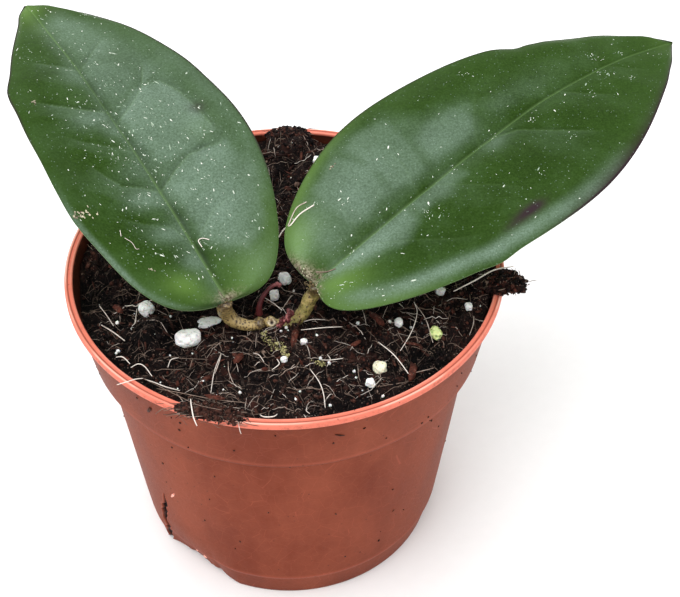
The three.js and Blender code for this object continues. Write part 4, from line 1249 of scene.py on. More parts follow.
def crumbly_height(x, y):
    """The ground as it looks: its height with clods, crumbs and grit of noise laid over it."""
    flat = np.stack([x, y, 0.0 * x], axis=-1)
    clods = cloudy(flat, 6.5, 2, 21)
    crumbs = np.abs(cloudy(flat + 40, 2.6, 4, 31))
    grit = np.abs(noise(flat / 0.7, 33))
    return soil_height(x, y) + 0.5 * clods + 1.0 * crumbs + 0.22 * grit - 0.5


def darkening(x, y):
    """How dark and bare the ground is, from 0 to 1: a bell for each dark patch."""
    return np.clip(sum(bell(np.hypot(x - east, y - north), reach) for east, north, reach in DARK_PATCHES), 0, 1)


def resting(rng, count, reach):
    """Random places on the ground, spread evenly within reach of the axis."""
    x, y = polar(reach * rng.uniform(0, 1, count) ** 0.5, rng.uniform(0, 2 * np.pi, count))
    return np.column_stack([x, y, crumbly_height(x, y)])


def held_in(points):
    """Points kept inside the box of the solids, with a little to spare."""
    low, high = (np.array(corner) / MM for corner in CAD_BOX)
    return np.clip(points, low + 0.4, high - 0.4)


def spill_body(middle, half, turn, seed):
    """A clod that lies over the rim: a ball stretched to its half sizes, ragged in plan with fingers and
    bays of noise, and lumpy on top."""
    corners, faces = ball(5)
    plan = corners * (1, 1, 0.25)
    fingers = 0.30 * cloudy(plan * 2.4, 1.0, 3, seed) + 0.10 * cloudy(corners * 9.0, 1.0, 3, seed + 3)
    x, y, z = (corners * (0.92 + fingers)[:, None] * half).T
    return held_in(np.column_stack([*spun(x, y, turn), z]) + middle), [faces]


def make_mix(settings):
    """The potting mix: rings of ground from the middle to the wall at its crumbly height, sides that follow
    the pot's inner wall down to its floor, and the clods spilled over the rim."""
    angle = 2 * np.pi * np.arange(MIX_COLUMNS) / MIX_COLUMNS
    radius = SOIL_TOP_EDGE * np.linspace(0, 1, settings.rings + 1)[1:][::-1]
    x, y = polar(radius[:, None], angle)
    top = np.stack([x, y, crumbly_height(x, y)], axis=-1).reshape(-1, 3)
    side = [*MIX_SIDE, (wall_inside(55.5) - 0.3, 55.5), (wall_inside(61) - 0.3, 61.0), (42.2, 65.0)]
    below = dented(rings(np.array(side), angle), 0.0)
    ends = [(0, 0, side[0][1]), (0, 0, crumbly_height(0.0, 0.0))]
    body = np.vstack([below, top, ends]), capped_faces(len(side) + len(radius), MIX_COLUMNS)
    places, faces = joined([body, *(spill_body(*spill, 70 + i) for i, spill in enumerate(SPILLS))])
    rise = places[:, 2] - soil_height(places[:, 0], places[:, 1])
    # Painted shade: darker where the ground lies low, and in the dark patches
    hollow = np.clip(0.5 - rise / 0.9, 0, 1) * 0.9 + 0.7 * darkening(places[:, 0], places[:, 1])
    finish = mix_finish(settings)
    add_piece("potting_mix_body", places, faces, finish, ["potting_mix"], {"hollow": hollow})


def on_spill(rng, count, spill):
    """Random places on the upper side of a spilled clod, out to a little past its edge."""
    middle, half, turn = spill
    radius = 1.12 * rng.uniform(0, 1, count) ** 0.6
    x, y = polar(radius, rng.uniform(0, 2 * np.pi, count))
    z = np.sqrt(np.clip(1 - radius**2, 0, 1)) * half[2] * 0.95
    return np.column_stack([*spun(x * half[0], y * half[1], turn), z]) + middle


def framed(along, beside):
    """Turns whose first two axes are along and beside."""
    return np.stack([along, beside, np.cross(along, beside)], axis=-1)


def make_crumbs(settings):
    """Loose crumbs of peat on the ground and on the spilled clods, the one in front in its own middling
    tones."""
    rng = np.random.default_rng(settings.seed)
    count = settings.crumb_count
    size = rng.uniform(0, 1, count) ** 4.0 * 0.95 + 0.18
    halves = size[:, None] * rng.uniform(0.3, 1.25, (count, 3)) * 0.62
    ground = resting(rng, count, SOIL_EDGE - 0.6)
    ground[:, 2] += 0.25 * halves[:, 2]
    spilled = held_in(np.vstack([on_spill(rng, SPILLED_CRUMBS, spill) for spill in SPILLS]))
    spilled_halves = rng.uniform(0.2, 0.7, (len(spilled), 1)) * rng.uniform(0.4, 1.0, (len(spilled), 3))
    middle = np.vstack([ground, spilled])
    crumbs = lumps(rng, middle, np.vstack([halves, spilled_halves]), jitter=0.32)
    tone = rng.uniform(0, 1, len(middle)) ** 2.8 * (1 - darkening(middle[:, 0], middle[:, 1]))
    front = np.arange(len(middle)) >= len(middle) - SPILLED_CRUMBS
    tone = np.where(front, 0.15 + 0.5 * rng.uniform(0, 1, len(middle)), tone)
    add_toned("mix_crumbs", [(crumbs, tone)], crumb_finish(settings))
    make_chips(settings, rng)


def make_chips(settings, rng):
    """Longer bits of red bark among the crumbs, scattered and leaning, and the named ones that stand
    out."""
    count = settings.bark_count
    middle = resting(rng, count, SOIL_EDGE - 1.2)
    length = rng.uniform(1.2, 4.2, count)
    halves = np.column_stack([length / 2, rng.uniform(0.15, 0.5, count), rng.uniform(0.1, 0.22, count)])
    heading = rng.uniform(0, 2 * np.pi, count)
    lean = rng.normal(0, 0.35, count)
    along = np.column_stack([*polar(np.cos(lean), heading), np.sin(lean)])
    beside = unit(np.cross((0, 0, 1), along) + rng.normal(0, 0.25, (count, 3)))
    beside = unit(beside - along * (beside * along).sum(axis=1, keepdims=True))
    middle[:, 2] += 0.25
    start, end = (np.array([chip[k] for chip in BARK_CHIPS], float) for k in (0, 1))
    width = np.array([chip[2] for chip in BARK_CHIPS])
    named = unit(end - start)
    named_halves = np.column_stack([np.linalg.norm(end - start, axis=1) / 2, width / 2, width / 4])
    middle = np.vstack([middle, (start + end) / 2 + (0, 0, 0.35)])
    turns = np.concatenate([framed(along, beside), framed(named, unit(np.cross((0, 0, 1), named)))])
    chips = lumps(rng, middle, np.vstack([halves, named_halves]), turns, 0.2)
    tone = np.where(np.arange(len(middle)) < count, rng.uniform(0.1, 0.75, len(middle)), 0.8)
    add_toned("bark_chips", [(chips, tone)], crumb_finish(settings, "bark_chips", 1.5))


def make_moss(settings):
    """Bits of dry yellow-green moss that lie in small drifts on the mix."""
    rng = np.random.default_rng(settings.seed + 5)
    flat = np.repeat([middle for middle, _ in MOSS], MOSS_BITS, axis=0)
    flat = flat + rng.normal(0, 1, flat.shape) * np.repeat([reach for _, reach in MOSS], MOSS_BITS)[:, None]
    count = len(flat)
    middle = np.column_stack([flat, crumbly_height(*flat.T) + rng.uniform(0.1, 0.4, count)])
    halves = rng.uniform(0.07, 0.2, (count, 1)) * rng.uniform(0.5, 1.6, (count, 3))
    bits = (lumps(rng, middle, halves, jitter=0.3), rng.uniform(0, 1, count))
    finish = cork_finish("dry_moss", paint(92, 88, 40), paint(214, 206, 148))
    add_toned("moss_bits", [bits], finish)


def wandering(rng, start, low, high, bend, lift):
    """Fibres that wander over the ground from their starts: the heading drifts along each, the middle is
    lifted in an arc, and the rest follows the crumbly height."""
    count = len(start)
    length = rng.uniform(low, high, count) * rng.uniform(0.5, 1.0, count)
    turn = np.cumsum(rng.normal(0, bend, (count, FIBRE_STEPS)), axis=1)
    turn = turn + rng.normal(0, bend * 0.6, (count, 1)) * np.arange(FIBRE_STEPS)
    heading = rng.uniform(0, 2 * np.pi, (count, 1)) + turn
    step = (length / (FIBRE_STEPS - 1))[:, None]
    x = start[:, :1] + np.cumsum(np.cos(heading) * step, axis=1)
    y = start[:, 1:2] + np.cumsum(np.sin(heading) * step, axis=1)
    far = np.maximum(np.hypot(x, y) / FIBRE_REACH, 1)
    x, y = x / far, y / far
    arc = np.sin(np.pi * np.linspace(0, 1, FIBRE_STEPS)) * np.abs(rng.normal(0, lift, (count, 1)))
    return np.stack([x, y, crumbly_height(x, y) + (arc + rng.uniform(-0.2, 0.25, (count, 1)))], axis=-1)


def tapered(rng, count, steps, low, high):
    """Radii along each strand: thick in the middle and thin at both ends."""
    thick = rng.uniform(low, high, (count, 1)) / 2
    return thick * (0.35 + 0.65 * np.sin(np.pi * (0.08 + 0.84 * np.linspace(0, 1, steps))) ** 0.5)


def tuft(rng, count, spill, turned_by, climb_spread, stride):
    """Short fibres on a spilled clod, which run along it either way, turned by up to turned_by, and droop
    past the rim."""
    start = on_spill(rng, count, spill)
    heading = np.radians(spill[2]) + np.pi * rng.integers(0, 2, (count, 1))
    heading = heading + rng.uniform(-turned_by, turned_by, (count, 1))
    heading = heading + np.cumsum(rng.normal(0, 0.14, (count, TUFT_STEPS)), axis=1)
    climb = rng.normal(-0.05, climb_spread, (count, 1)) + np.linspace(0.06, -0.25, TUFT_STEPS)
    step = rng.uniform(0.15, stride, (count, 1))
    move = np.stack([np.cos(heading) * step, np.sin(heading) * step, climb * step], axis=-1)
    places = start[:, None, :] + np.cumsum(move, axis=1)
    inside = np.hypot(places[..., 0], places[..., 1]) < RIM_RADIUS
    places[..., 2] = np.where(inside, np.maximum(places[..., 2], RIM_TOP - 0.2), places[..., 2])
    return held_in(places)


def make_strands(settings):
    """Fibres and dead roots over the mix: hundreds that wander at random, tufts on the spilled clods, and
    the named ones on their own curves."""
    rng = np.random.default_rng(settings.seed + 1)
    count, long_count = settings.strand_count, settings.root_count
    fine = wandering(rng, resting(rng, count, SOIL_EDGE - 1.5), 1.5, 8.0, 0.06, 0.3)
    mesh = tubes(fine, tapered(rng, count, FIBRE_STEPS, 0.07, 0.17), 3)
    parts = [(mesh, rng.beta(0.5, 1.5, count) * (1 - 0.95 * darkening(fine[:, 4, 0], fine[:, 4, 1])))]
    roots = wandering(rng, resting(rng, long_count, SOIL_EDGE - 3.0), 5.0, 14.0, 0.03, 0.5)
    mesh = tubes(roots, tapered(rng, long_count, FIBRE_STEPS, 0.11, 0.21), 5)
    parts.append((mesh, rng.uniform(0.1, 0.85, long_count)))
    for spill, (many, *habit) in zip(SPILLS, TUFTS):
        mesh = tubes(tuft(rng, many, spill, *habit), tapered(rng, many, TUFT_STEPS, 0.08, 0.20), 3)
        parts.append((mesh, rng.beta(1.2, 3.0, many)))
    swell = 0.45 + 0.55 * np.sin(np.pi * (0.06 + 0.88 * np.linspace(0, 1, NAMED_STEPS)[None])) ** 0.5
    for thickness, tone, points in NAMED_STRANDS:
        centres = held_in(curve_through(points, NAMED_STEPS))[None]
        parts.append((tubes(centres, NAMED_SHARE * thickness / 2 * swell, 7), [tone]))
    add_toned("mix_strands", parts, strand_finish(settings))


def grain_body(row, seed):
    """One perlite grain: a ball whose broad lobes and small pits are noise, stretched to its sizes and
    turned."""
    x, y, size, turn, proud = row
    corners, faces = ball(4)
    ragged = 0.42 if seed == DULL_GRAIN else 0.20
    blocky = (np.abs(corners) ** 4).sum(axis=1) ** -0.25
    lobes = ragged * cloudy(corners * 1.1 + 3.7 * seed, 1.0, 2, 3)
    pits = 0.09 * cloudy(corners * 4.0 + 2 * seed, 1.0, 3, 9)
    rough_ball = corners * (0.95 * mixed(1.0, blocky, 0.6) + lobes - np.abs(pits))[:, None]
    across, back, up = (rough_ball * np.array(size) / 2 * GRAIN_SHARE.get(seed, 0.92)).T
    across, back = spun(across, back, turn)
    places = np.column_stack([across + x, back + y, up + soil_height(x, y) + proud + 0.25])
    low = 1 - smooth(-0.3, 0.25, places[:, 2] - crumbly_height(places[:, 0], places[:, 1]))
    return places, [faces], low


def make_grains(settings):
    """The perlite: twenty grains in the places of their solids, and the smaller crumbs between them."""
    white = perlite_finish("perlite_white", settings.perlite, settings.peat_light)
    finishes = {
        DULL_GRAIN: perlite_finish("perlite_dull", paint(246, 247, 244), settings.peat_light),
        CREAM_GRAIN: perlite_finish("perlite_cream", paint(246, 242, 214), paint(150, 140, 84), 0.5),
        GREENISH_GRAIN: perlite_finish("perlite_mossy", paint(222, 236, 160), paint(112, 140, 40), 0.9),
    }
    for i, row in enumerate(GRAINS):
        places, faces, low = grain_body(row, i)
        title = f"{i + 1:02d}"
        finish = finishes.get(i, white)
        add_piece("grain_" + title, places, faces, finish, ["perlite_" + title], {"low": low})
    rng = np.random.default_rng(settings.seed + 2)
    x, y, width = np.array(PERLITE_CRUMBS).T
    extra = resting(rng, settings.grit_count, SOIL_EDGE - 1.0)
    middle = np.vstack([np.column_stack([x, y, crumbly_height(x, y) + 0.2]), extra])
    half = np.concatenate([width / 2, rng.uniform(0.10, 0.26, settings.grit_count)])
    halves = half[:, None] * rng.uniform(0.75, 1.05, (len(half), 3))
    places, faces = lumps(rng, middle, halves, jitter=0.2)
    add_piece("perlite_crumbs", places, faces, white, attributes={"low": np.zeros(len(places))})


# Stem


def limb(points, radii, count, sides, seed):
    """A round limb along a smooth curve, with swollen joints and slight knobs of noise."""
    centres = curve_through(points, count)
    radius = np.interp(np.linspace(0, len(radii) - 1, count), np.arange(len(radii)), radii)
    places, faces = tubes(centres[None], radius[None], sides)
    knobs = 0.07 * cloudy(places, 0.9, 3, seed)
    middle = np.repeat(centres, sides, axis=0)
    return middle + (places - middle) * (1 + knobs)[:, None], faces


def root_points(start, heading, reach, depth):
    """A root leaves the stem, runs out and bends down."""
    points = []
    for out, drop in ROOT_BEND:
        x, y = polar(out * reach, np.radians(heading))
        points.append((ROOT_START[0] + x, ROOT_START[1] + y, start - drop * depth))
    return points


def make_stem(settings):
    """The stem: a buried column with its roots, the two petioles that curve up to the blades, the swollen
    ring between them and the pale stub of a cut shoot."""
    parts = [
        limb(PETIOLE_LEFT, PETIOLE_LEFT_RADII, 90, 28, 1),
        limb(PETIOLE_RIGHT, PETIOLE_RIGHT_RADII, 80, 28, 2),
        limb(COLUMN, COLUMN_RADII, 60, 20, 3),
    ]
    parts += [limb(root_points(*root), ROOT_RADII, 24, 12, 4) for root in ROOTS]
    body_count = sum(len(p) for p, _ in parts)
    ring = curve_through(COLLAR, 14)
    bulge = COLLAR_RADIUS + 0.28 * np.sin(np.linspace(0, np.pi, 14))
    parts.append(tubes(ring[None], bulge[None], 28))
    places, faces = joined(parts)
    x = places[:, 0]
    top = np.maximum(smooth(74.2, 76.2, places[:, 2]), np.arange(len(places)) >= body_count)
    node = bell(x + 5.6, 0.8) * 0.7 + bell(x + 9.8, 0.5) * 0.35 + bell(x - 2.4, 0.5) * 0.25
    marks = {"olive": smooth(-4.0, 1.0, x), "cork": np.maximum(top * 0.9, node)}
    add_piece("hoya_stem", places, faces, stem_finish(settings), ["stem"], marks)
    make_stub()
    make_callus(settings)


def make_stub():
    """The stub of a cut shoot: a short barrel with a dark sunken end."""
    rows, sides = len(STUB_RADII), 24
    radii = np.array(STUB_RADII)[:, None, None]
    centres = curve_through(STUB, rows)
    axis = unit(np.diff(centres[-2:], axis=0))[0]
    centres[-2] = centres[-3] + axis * 0.02
    centres[-1] = centres[-3] - axis * 0.28
    turn = np.linspace(0, 2 * np.pi, sides, endpoint=False)
    side = unit(np.cross(axis, (0.0, 0.0, 1.0)))
    other = np.cross(axis, side)
    barrel = centres[:, None] + radii * (side * np.cos(turn)[:, None] + other * np.sin(turn)[:, None])
    places = np.vstack([barrel.reshape(-1, 3), centres[:1], centres[-1:]])
    inner = np.append(np.repeat(np.linspace(0, 1, rows) > 0.85, sides), (0.0, 1.0))
    faces = capped_faces(rows, sides)
    add_piece("cut_stub", places, faces, stub_finish(), attributes={"inner": inner})


def make_callus(settings):
    """Brown corky lumps where the petioles enter the blades."""
    rng = np.random.default_rng(CALLUS_SEED)
    middles, sizes = [], []
    for middle, spread_out, count in CALLUS:
        middles.append(np.array(middle) + rng.normal(0, 1, (count, 3)) * spread_out)
        sizes.append(rng.uniform(0.12, 0.28, count))
    middles, sizes = np.vstack(middles), np.concatenate(sizes)
    halves = sizes[:, None] * rng.uniform(0.7, 1.1, (len(sizes), 3))
    bits = (lumps(rng, middles, halves, jitter=0.3, level=1), rng.uniform(0, 1, len(middles)))
    finish = cork_finish("callus_cork", shade(settings.cork, 0.7), paint(138, 120, 84))
    add_toned("callus", [bits], finish)


def make_shoots(settings):
    """Two young shoots that rise from the stem, each a thin limb with a knobbly growing tip. The right one
    is knobbly halfway up too, with painted glints."""
    finish = shoot_finish(settings)
    rng = np.random.default_rng(SHOOT_SEED)
    for side, points, radii, pink in SHOOTS:
        right = side == "right"
        tip = np.array(points[-1])
        knobs = tip + rng.normal(0, 0.3, (5, 3)) * (1, 1, 0.6)
        halves = rng.uniform(0.25, 0.45, (5, 1)) * rng.uniform(0.8, 1.1, (5, 3))
        if right:
            knobs = np.vstack([knobs, np.repeat(points[1:4], 3, axis=0) + rng.normal(0, 0.4, (9, 3))])
            halves = np.vstack([halves, rng.uniform(0.3, 0.6, (9, 3))])
        body = limb(points, radii, 60, 16, 7)
        places, faces = joined([body, lumps(rng, knobs, halves, jitter=0.12, level=1)])
        near = pink * bell(np.linalg.norm(places - tip, axis=1), 0.9)
        # Painted glints on the right shoot
        glint = smooth(0.32, 0.5, cloudy(places, 0.5, 2, 43)) * (places[:, 2] > 69.4) * right
        name, node = "young_shoot_" + side, "shoot_" + side
        add_piece(name, places, faces, finish, [node], {"tip": near + glint})


# Leaves


def outline(along, side):
    """Half width of one side at each share of the length: half (t/w)^b ((1-t)/(1-w))^p, widest at w =
    b/(b+p), made fuller or slimmer by a sine and by the margin's own small bells."""
    widest = side["base"] / (side["base"] + side["tip"])
    arc = (along / widest) ** side["base"] * ((1 - along) / (1 - widest)) ** side["tip"]
    wobble = sum(share * bell(along - place, reach) for place, reach, share in side["wobble"])
    return side["half"] * arc * (1 + side["full"] * np.sin(2 * np.pi * along) + wobble)


def half_width(leaf, along, across):
    """The half width of the side that each place lies on."""
    return np.where(across < 0, outline(along, leaf["left"]), outline(along, leaf["right"]))


def laid_flat(leaf, along, across):
    """Places on the blade laid flat: mm across from its midrib and mm along it."""
    return np.stack([across * half_width(leaf, along, across), along * leaf["length"]], axis=-1)


def set_in_place(leaf, vectors):
    """Vectors of the leaf's own frame turned as it grows: rolled about its length, raised, then turned
    about z."""
    turn, rise, roll = np.radians([leaf["turn"], leaf["rise"], leaf["roll"]])
    return vectors @ (about(2, turn) @ about(0, rise) @ about(1, roll)).T


def blade_sheet(leaf, along, across, above):
    """Places on or over the blade's middle sheet. The midrib is an arc, the blade cups by the square of the
    distance from it, the margins wave, and lobes stand back beside the petiole. above is measured across
    the sheet."""
    arch = np.radians(leaf["arch"])
    off = across * half_width(leaf, along, across)
    wave = MARGIN_WAVE * across**2 * np.sin(2 * np.pi * MARGIN_WAVES * along + 2 * np.sign(across))
    lift = leaf["cup"] * (off / CUP_REACH) ** 2 + wave + above
    lobe = np.where(across < 0, leaf["left"]["lobe"], leaf["right"]["lobe"]) * across**2
    lobe = lobe * (along / LOBE_AT) * np.exp(1 - along / LOBE_AT)
    angle = arch * along
    x = off + 4 * leaf["bow"] * along * (1 - along) + leaf["swing"] * np.sin(2 * np.pi * along)
    y = leaf["length"] * np.sin(angle) / arch + lift * np.sin(angle) - lobe
    z = -leaf["length"] * (1 - np.cos(angle)) / arch + lift * np.cos(angle)
    return set_in_place(leaf, np.stack([x, y, z], axis=-1)) + np.array(leaf["base"])


def from_segment(here, start, end):
    """Each place's distance to a segment, the share of the segment where its foot lies, and both vectors
    that the distance comes from: the way from the start to the place, and the segment."""
    span = end - start
    away = here - start
    u = np.clip((away @ span) / (span @ span), 0, 1)
    return np.linalg.norm(away - u[..., None] * span, axis=-1), u, away, span


def vein_fields(leaf, veins, along, across):
    """For each place, the distance in mm to the nearest side vein, above 0 on its dark side and below 0 on
    its light one, and the vein's strength there, which fades towards its end. A vein's dark side faces the
    tip, unless its first number is below 0."""
    here = laid_flat(leaf, along, across)
    nearest = np.full(along.shape, FAR_OFF)
    strength = np.zeros(along.shape)
    for power, *vein in veins:
        t, s = np.array(vein).T
        points = laid_flat(leaf, t, s)
        total = len(points) - 1
        facing = np.sign(power) * np.sign(s[-1] + s[0])
        for i, (start, end) in enumerate(zip(points, points[1:])):
            distance, u, away, span = from_segment(here, start, end)
            side = facing * np.sign(span[0] * away[..., 1] - span[1] * away[..., 0])
            closer = distance < np.abs(nearest)
            nearest = np.where(closer, distance * np.where(side < 0, -1, 1), nearest)
            strength = np.where(closer, np.abs(power) * (1 - smooth(0.6, 1.0, (i + u) / total)), strength)
    return nearest, strength


def relief(leaf, look, along, across, settings):
    """Height of the upper skin over the plain blade: a crease along the midrib, shallow grooves along the
    side veins with the skin swelling between them, slow uneven swells, dimples, and margins that roll
    down."""
    width = half_width(leaf, along, across)
    off = across * width
    nearest, strength = vein_fields(leaf, look["veins"], along, across)
    height = -settings.midrib_depth * np.exp(-np.abs(off) / 1.9) * (1 - 0.5 * along) - 0.16 * bell(off, 0.32)
    height = height - settings.vein_depth * bell(nearest, 0.7) * strength * smooth(0.3, 2.0, np.abs(off))
    inner = 1 - smooth(0.72, 1.0, np.abs(across))
    height = height + settings.quilting * (1 - bell(nearest, 6.0)) * inner * smooth(0.4, 5.0, np.abs(off))
    flat = np.stack([off, along * leaf["length"], 0 * off], axis=-1)
    height = height + 0.18 * noise(flat / 13.0, 81) * inner
    height = height + 0.04 * noise(flat / 4.5, 82) + 0.012 * noise(flat / 1.3, 83)
    for t, s, reach, depth in look["dimples"]:
        x, y = laid_flat(leaf, t, s)
        height = height - depth * bell(np.hypot(flat[..., 0] - x, flat[..., 1] - y), reach)
    roll = np.clip(1 - (1 - np.abs(across)) * width / 2.6, 0, 1)
    return height - 0.42 * roll**2


def thickness(along, across):
    """The blade thins from its middle to its margin, and is thickest at its base."""
    body = BLADE_MARGIN + (BLADE_MIDDLE - BLADE_MARGIN) * (1 - across**2)
    return body + (BLADE_BASE - BLADE_MIDDLE) * np.maximum(0, 1 - along / BASE_STRETCH) ** 2


def rounding(leaf, along, across):
    """1 over most of the blade, falling in a quarter circle to 0 at the margin and at both ends."""
    margin = np.clip((1 - np.abs(across)) * half_width(leaf, along, across) / 0.45, 0, 1)
    ends = np.clip(np.minimum(along, 1 - along) * leaf["length"] / 0.5, 0, 1)
    return np.sqrt(1 - (1 - margin) ** 2) * np.sqrt(1 - (1 - ends) ** 2)


def skin(leaf, look, along, across, settings, raised):
    """Places on the upper skin, raised by so many mm."""
    round_off = rounding(leaf, along, across)
    above = thickness(along, across) / 2 * round_off
    above = above + relief(leaf, look, along, across, settings) * smooth(0.0, 1.0, round_off)
    return blade_sheet(leaf, along, across, above + raised)


def areas(rows, along, across):
    """Soft areas added up: each is its strength times a bell over its reach along and across."""
    total = np.zeros(along.shape)
    for t, s, reach_t, reach_s, strength in rows:
        near = np.exp(-(((along - t) / reach_t) ** 2) - ((across - s) / reach_s) ** 2)
        total = np.maximum(total, 0) + strength * near
    return total


def sheen_panel_field(leaf, panels, along, across):
    """Painted sheen on the panels between the veins: each is a closed chain of places, full inside and soft
    over its edge's width, which wanders with the noise. They add up."""
    here = laid_flat(leaf, along, across)
    flat = np.concatenate([here, 0 * here[..., :1]], axis=-1)
    wander = 0.6 * noise(flat / 3.0, 85) + 0.15 * noise(flat / 1.1, 86)
    total = np.zeros(along.shape)
    for strength, soft, *corners in panels:
        chain = laid_flat(leaf, *np.array(corners).T)
        nearest = np.full(along.shape, FAR_OFF)
        inside = np.zeros(along.shape, bool)
        for start, end in zip(chain, np.roll(chain, -1, axis=0)):
            distance, _, away, span = from_segment(here, start, end)
            nearest = np.minimum(nearest, distance)
            crosses = (here[..., 1] < start[1]) != (here[..., 1] < end[1])
            rise = np.where(span[1] == 0, 1.0, span[1])
            inside ^= crosses & (here[..., 0] < start[0] + away[..., 1] * span[0] / rise)
        total = total + strength * smooth(-soft, soft, np.where(inside, nearest, -nearest) + wander)
    return total


def spread(count, low, high, dense):
    """Numbers from low to high, closer together where the function dense is larger."""
    fine = np.linspace(low, high, 4001)
    weight = dense(fine)
    total = np.concatenate([[0], np.cumsum((weight[1:] + weight[:-1]) / 2)])
    return np.interp(np.linspace(0, total[-1], count), total, fine)


def dense_across(s):
    """How close together a blade's columns are: closer at the midrib, closest at the margins."""
    return 1 + 2.6 * bell(s, 0.06) + 5 * bell(np.abs(s) - 1, 0.03)


def dense_along(t):
    """How close together a blade's rings are: closer towards both ends."""
    return 1 + 5 * bell(t, 0.03) + 3 * bell(t - 1, 0.02)


def read_along(rows, along):
    """A curve over the length, read from (along, value) rows."""
    return np.interp(along, *np.array(rows).T)


def leaf_marks(leaf, look, t, s, off):
    """How strongly each of the leaf's colours lies on every place: painted sheen on the lit side of the
    midrib and of the veins, painted shade on their other side, and the soft areas of the leaf's own tables."""
    nearest, strength = vein_fields(leaf, look["veins"], t, s)
    edge = (1 - np.abs(s)) * half_width(leaf, t, s)
    lit = off * look["lit"]
    rib_lit = np.where(lit > 0, np.exp(-np.abs(off) / 2.0), 0) * read_along(look["rib_lit"], t)
    rib_dark = np.where(lit < 0, bell(off, 0.7), 0) * read_along(look["rib_dark"], t)
    vein_dark = np.where(nearest > 0, 0.5 * bell(nearest - 0.3, 0.45), 0) * strength
    vein_lit = np.where(nearest < 0, look["vein_lit"] * np.exp(nearest / 3.2), 0) * strength
    vein_lit = vein_lit * smooth(0.3, 1.5, np.abs(off))
    rib = read_along(look["rib"], t) * bell(off, 0.20 + 0.12 * (1 - t))
    mid = smooth(0.55, 1.0, np.abs(s)) * 0.25 + smooth(0.6, 1.0, t) * 0.4
    return {
        "bloom_and_sheen": areas(look["bloom_and_sheen"], t, s) + sheen_panel_field(leaf, look["panels"], t, s) + rib_lit + vein_lit,
        "young": areas(look["young"], t, s),
        "mid": mid + (1 - smooth(0.0, 0.2, t)) * 0.5,
        "vein": rib + 0.22 * strength * bell(nearest, 0.22),
        "shadow": np.maximum(rib_dark, vein_dark) + areas(look["dark"], t, s),
        "purple": areas(look["purple"], t, s) + look["margin"](t, s) * bell(edge, 0.35),
        "crust": areas(look["crust"], t, s),
    }


def make_leaf(side, leaf, look, settings):
    """One blade: closed rings across it, from the base to the tip. The upper half of a ring follows the
    skin's relief and the lower half the plain sheet with a keel under the midrib."""
    rows, columns = settings.rows, UPPER_COLUMNS + LOWER_COLUMNS
    over = spread(UPPER_COLUMNS, -1, 1, dense_across)
    under = spread(LOWER_COLUMNS + 2, 1, -1, dense_across)[1:-1]
    t = np.repeat(spread(rows, 0.0006, 0.9994, dense_along)[:, None], columns, axis=1)
    s = np.repeat(np.concatenate([over, under])[None], rows, axis=0)
    below = np.repeat((0.0, 1.0), (UPPER_COLUMNS, LOWER_COLUMNS))[None] + 0 * t
    off = s * half_width(leaf, t, s)
    round_off = rounding(leaf, t, s)
    bump = relief(leaf, look, t, s, settings) * smooth(0.0, 1.0, round_off)
    half = thickness(t, s) / 2 * round_off
    keel = 0.55 * bell(off, 1.2) * (1 - 0.6 * t) * smooth(0.0, 0.04, t)
    above = np.where(below > 0, -half + 0.6 * bump - keel * round_off, half + bump)
    places = blade_sheet(leaf, t, s, above).reshape(-1, 3)
    ends = blade_sheet(leaf, np.array([0.0, 1.0]), np.zeros(2), np.zeros(2))
    marks = leaf_marks(leaf, look, t, s, off) | {"under": below}
    marks = {key: np.append(value, (0.0, 0.0)) for key, value in marks.items()}
    faces = capped_faces(rows, columns)
    places = np.vstack([places, ends])
    add_piece("blade_" + side, places, faces, leaf_finish(settings), ["leaf_" + side], marks)


def skin_frames(leaf, look, along, across, settings, raised):
    """Places on a leaf's skin with directions along it, across it and out of it, from small steps on the
    skin."""
    here = skin(leaf, look, along, across, settings, raised)
    ahead = skin(leaf, look, np.minimum(along + 0.004, 0.999), across, settings, raised)
    beside = skin(leaf, look, along, across + np.where(across > 0.9, -0.02, 0.02), settings, raised)
    ahead = unit(ahead - here)
    beside = (beside - here) * np.where(across > 0.9, -1, 1)[:, None]
    out = unit(np.cross(beside, ahead))
    out = out * np.sign(out[:, 2:3])
    return here, ahead, np.cross(out, ahead), out


def make_flecks(side, leaf, look, settings, count):
    """Flecks of dried lime on the skin: flat lumps, scattered thinly all over, thicker down the middle, and
    gathered where drops have dried."""
    rng = np.random.default_rng(look["seed"])
    along = rng.uniform(0.05, 0.96, count * 3)
    across = rng.uniform(-0.94, 0.94, count * 3)
    keep = rng.uniform(0, 1, count * 3) < look["thick"](along, across)
    along, across = along[keep][:count], across[keep][:count]
    for t, s, reach, many in look["splashes"]:
        along = np.append(along, t + rng.normal(0, reach / leaf["length"] / 1.6, many))
        across = np.append(across, s + rng.normal(0, reach / half_width(leaf, t, s) / 1.6, many))
    along, across = np.clip(along, 0.03, 0.985), np.clip(across, -0.95, 0.95)
    total = len(along)
    middle, ahead, beside, out = skin_frames(leaf, look, along, across, settings, 0.015)
    lean = rng.normal(look["lean"], 0.6, total)[:, None]
    length_way = ahead * np.cos(lean) + beside * np.sin(lean)
    turns = np.stack([length_way, np.cross(out, length_way), out], axis=-1)
    size = look["fleck"] * (0.5 + rng.exponential(0.42, total)).clip(0.5, 2.3)
    length, width = size * rng.uniform(0.7, 2.0, total), size * rng.uniform(0.35, 0.6, total)
    halves = np.column_stack([length, width, np.full(total, 0.03)])
    flecks = (lumps(rng, middle, halves, turns, 0.25), rng.uniform(0, 1, total))
    add_toned("flecks_" + side, [flecks], fleck_finish())


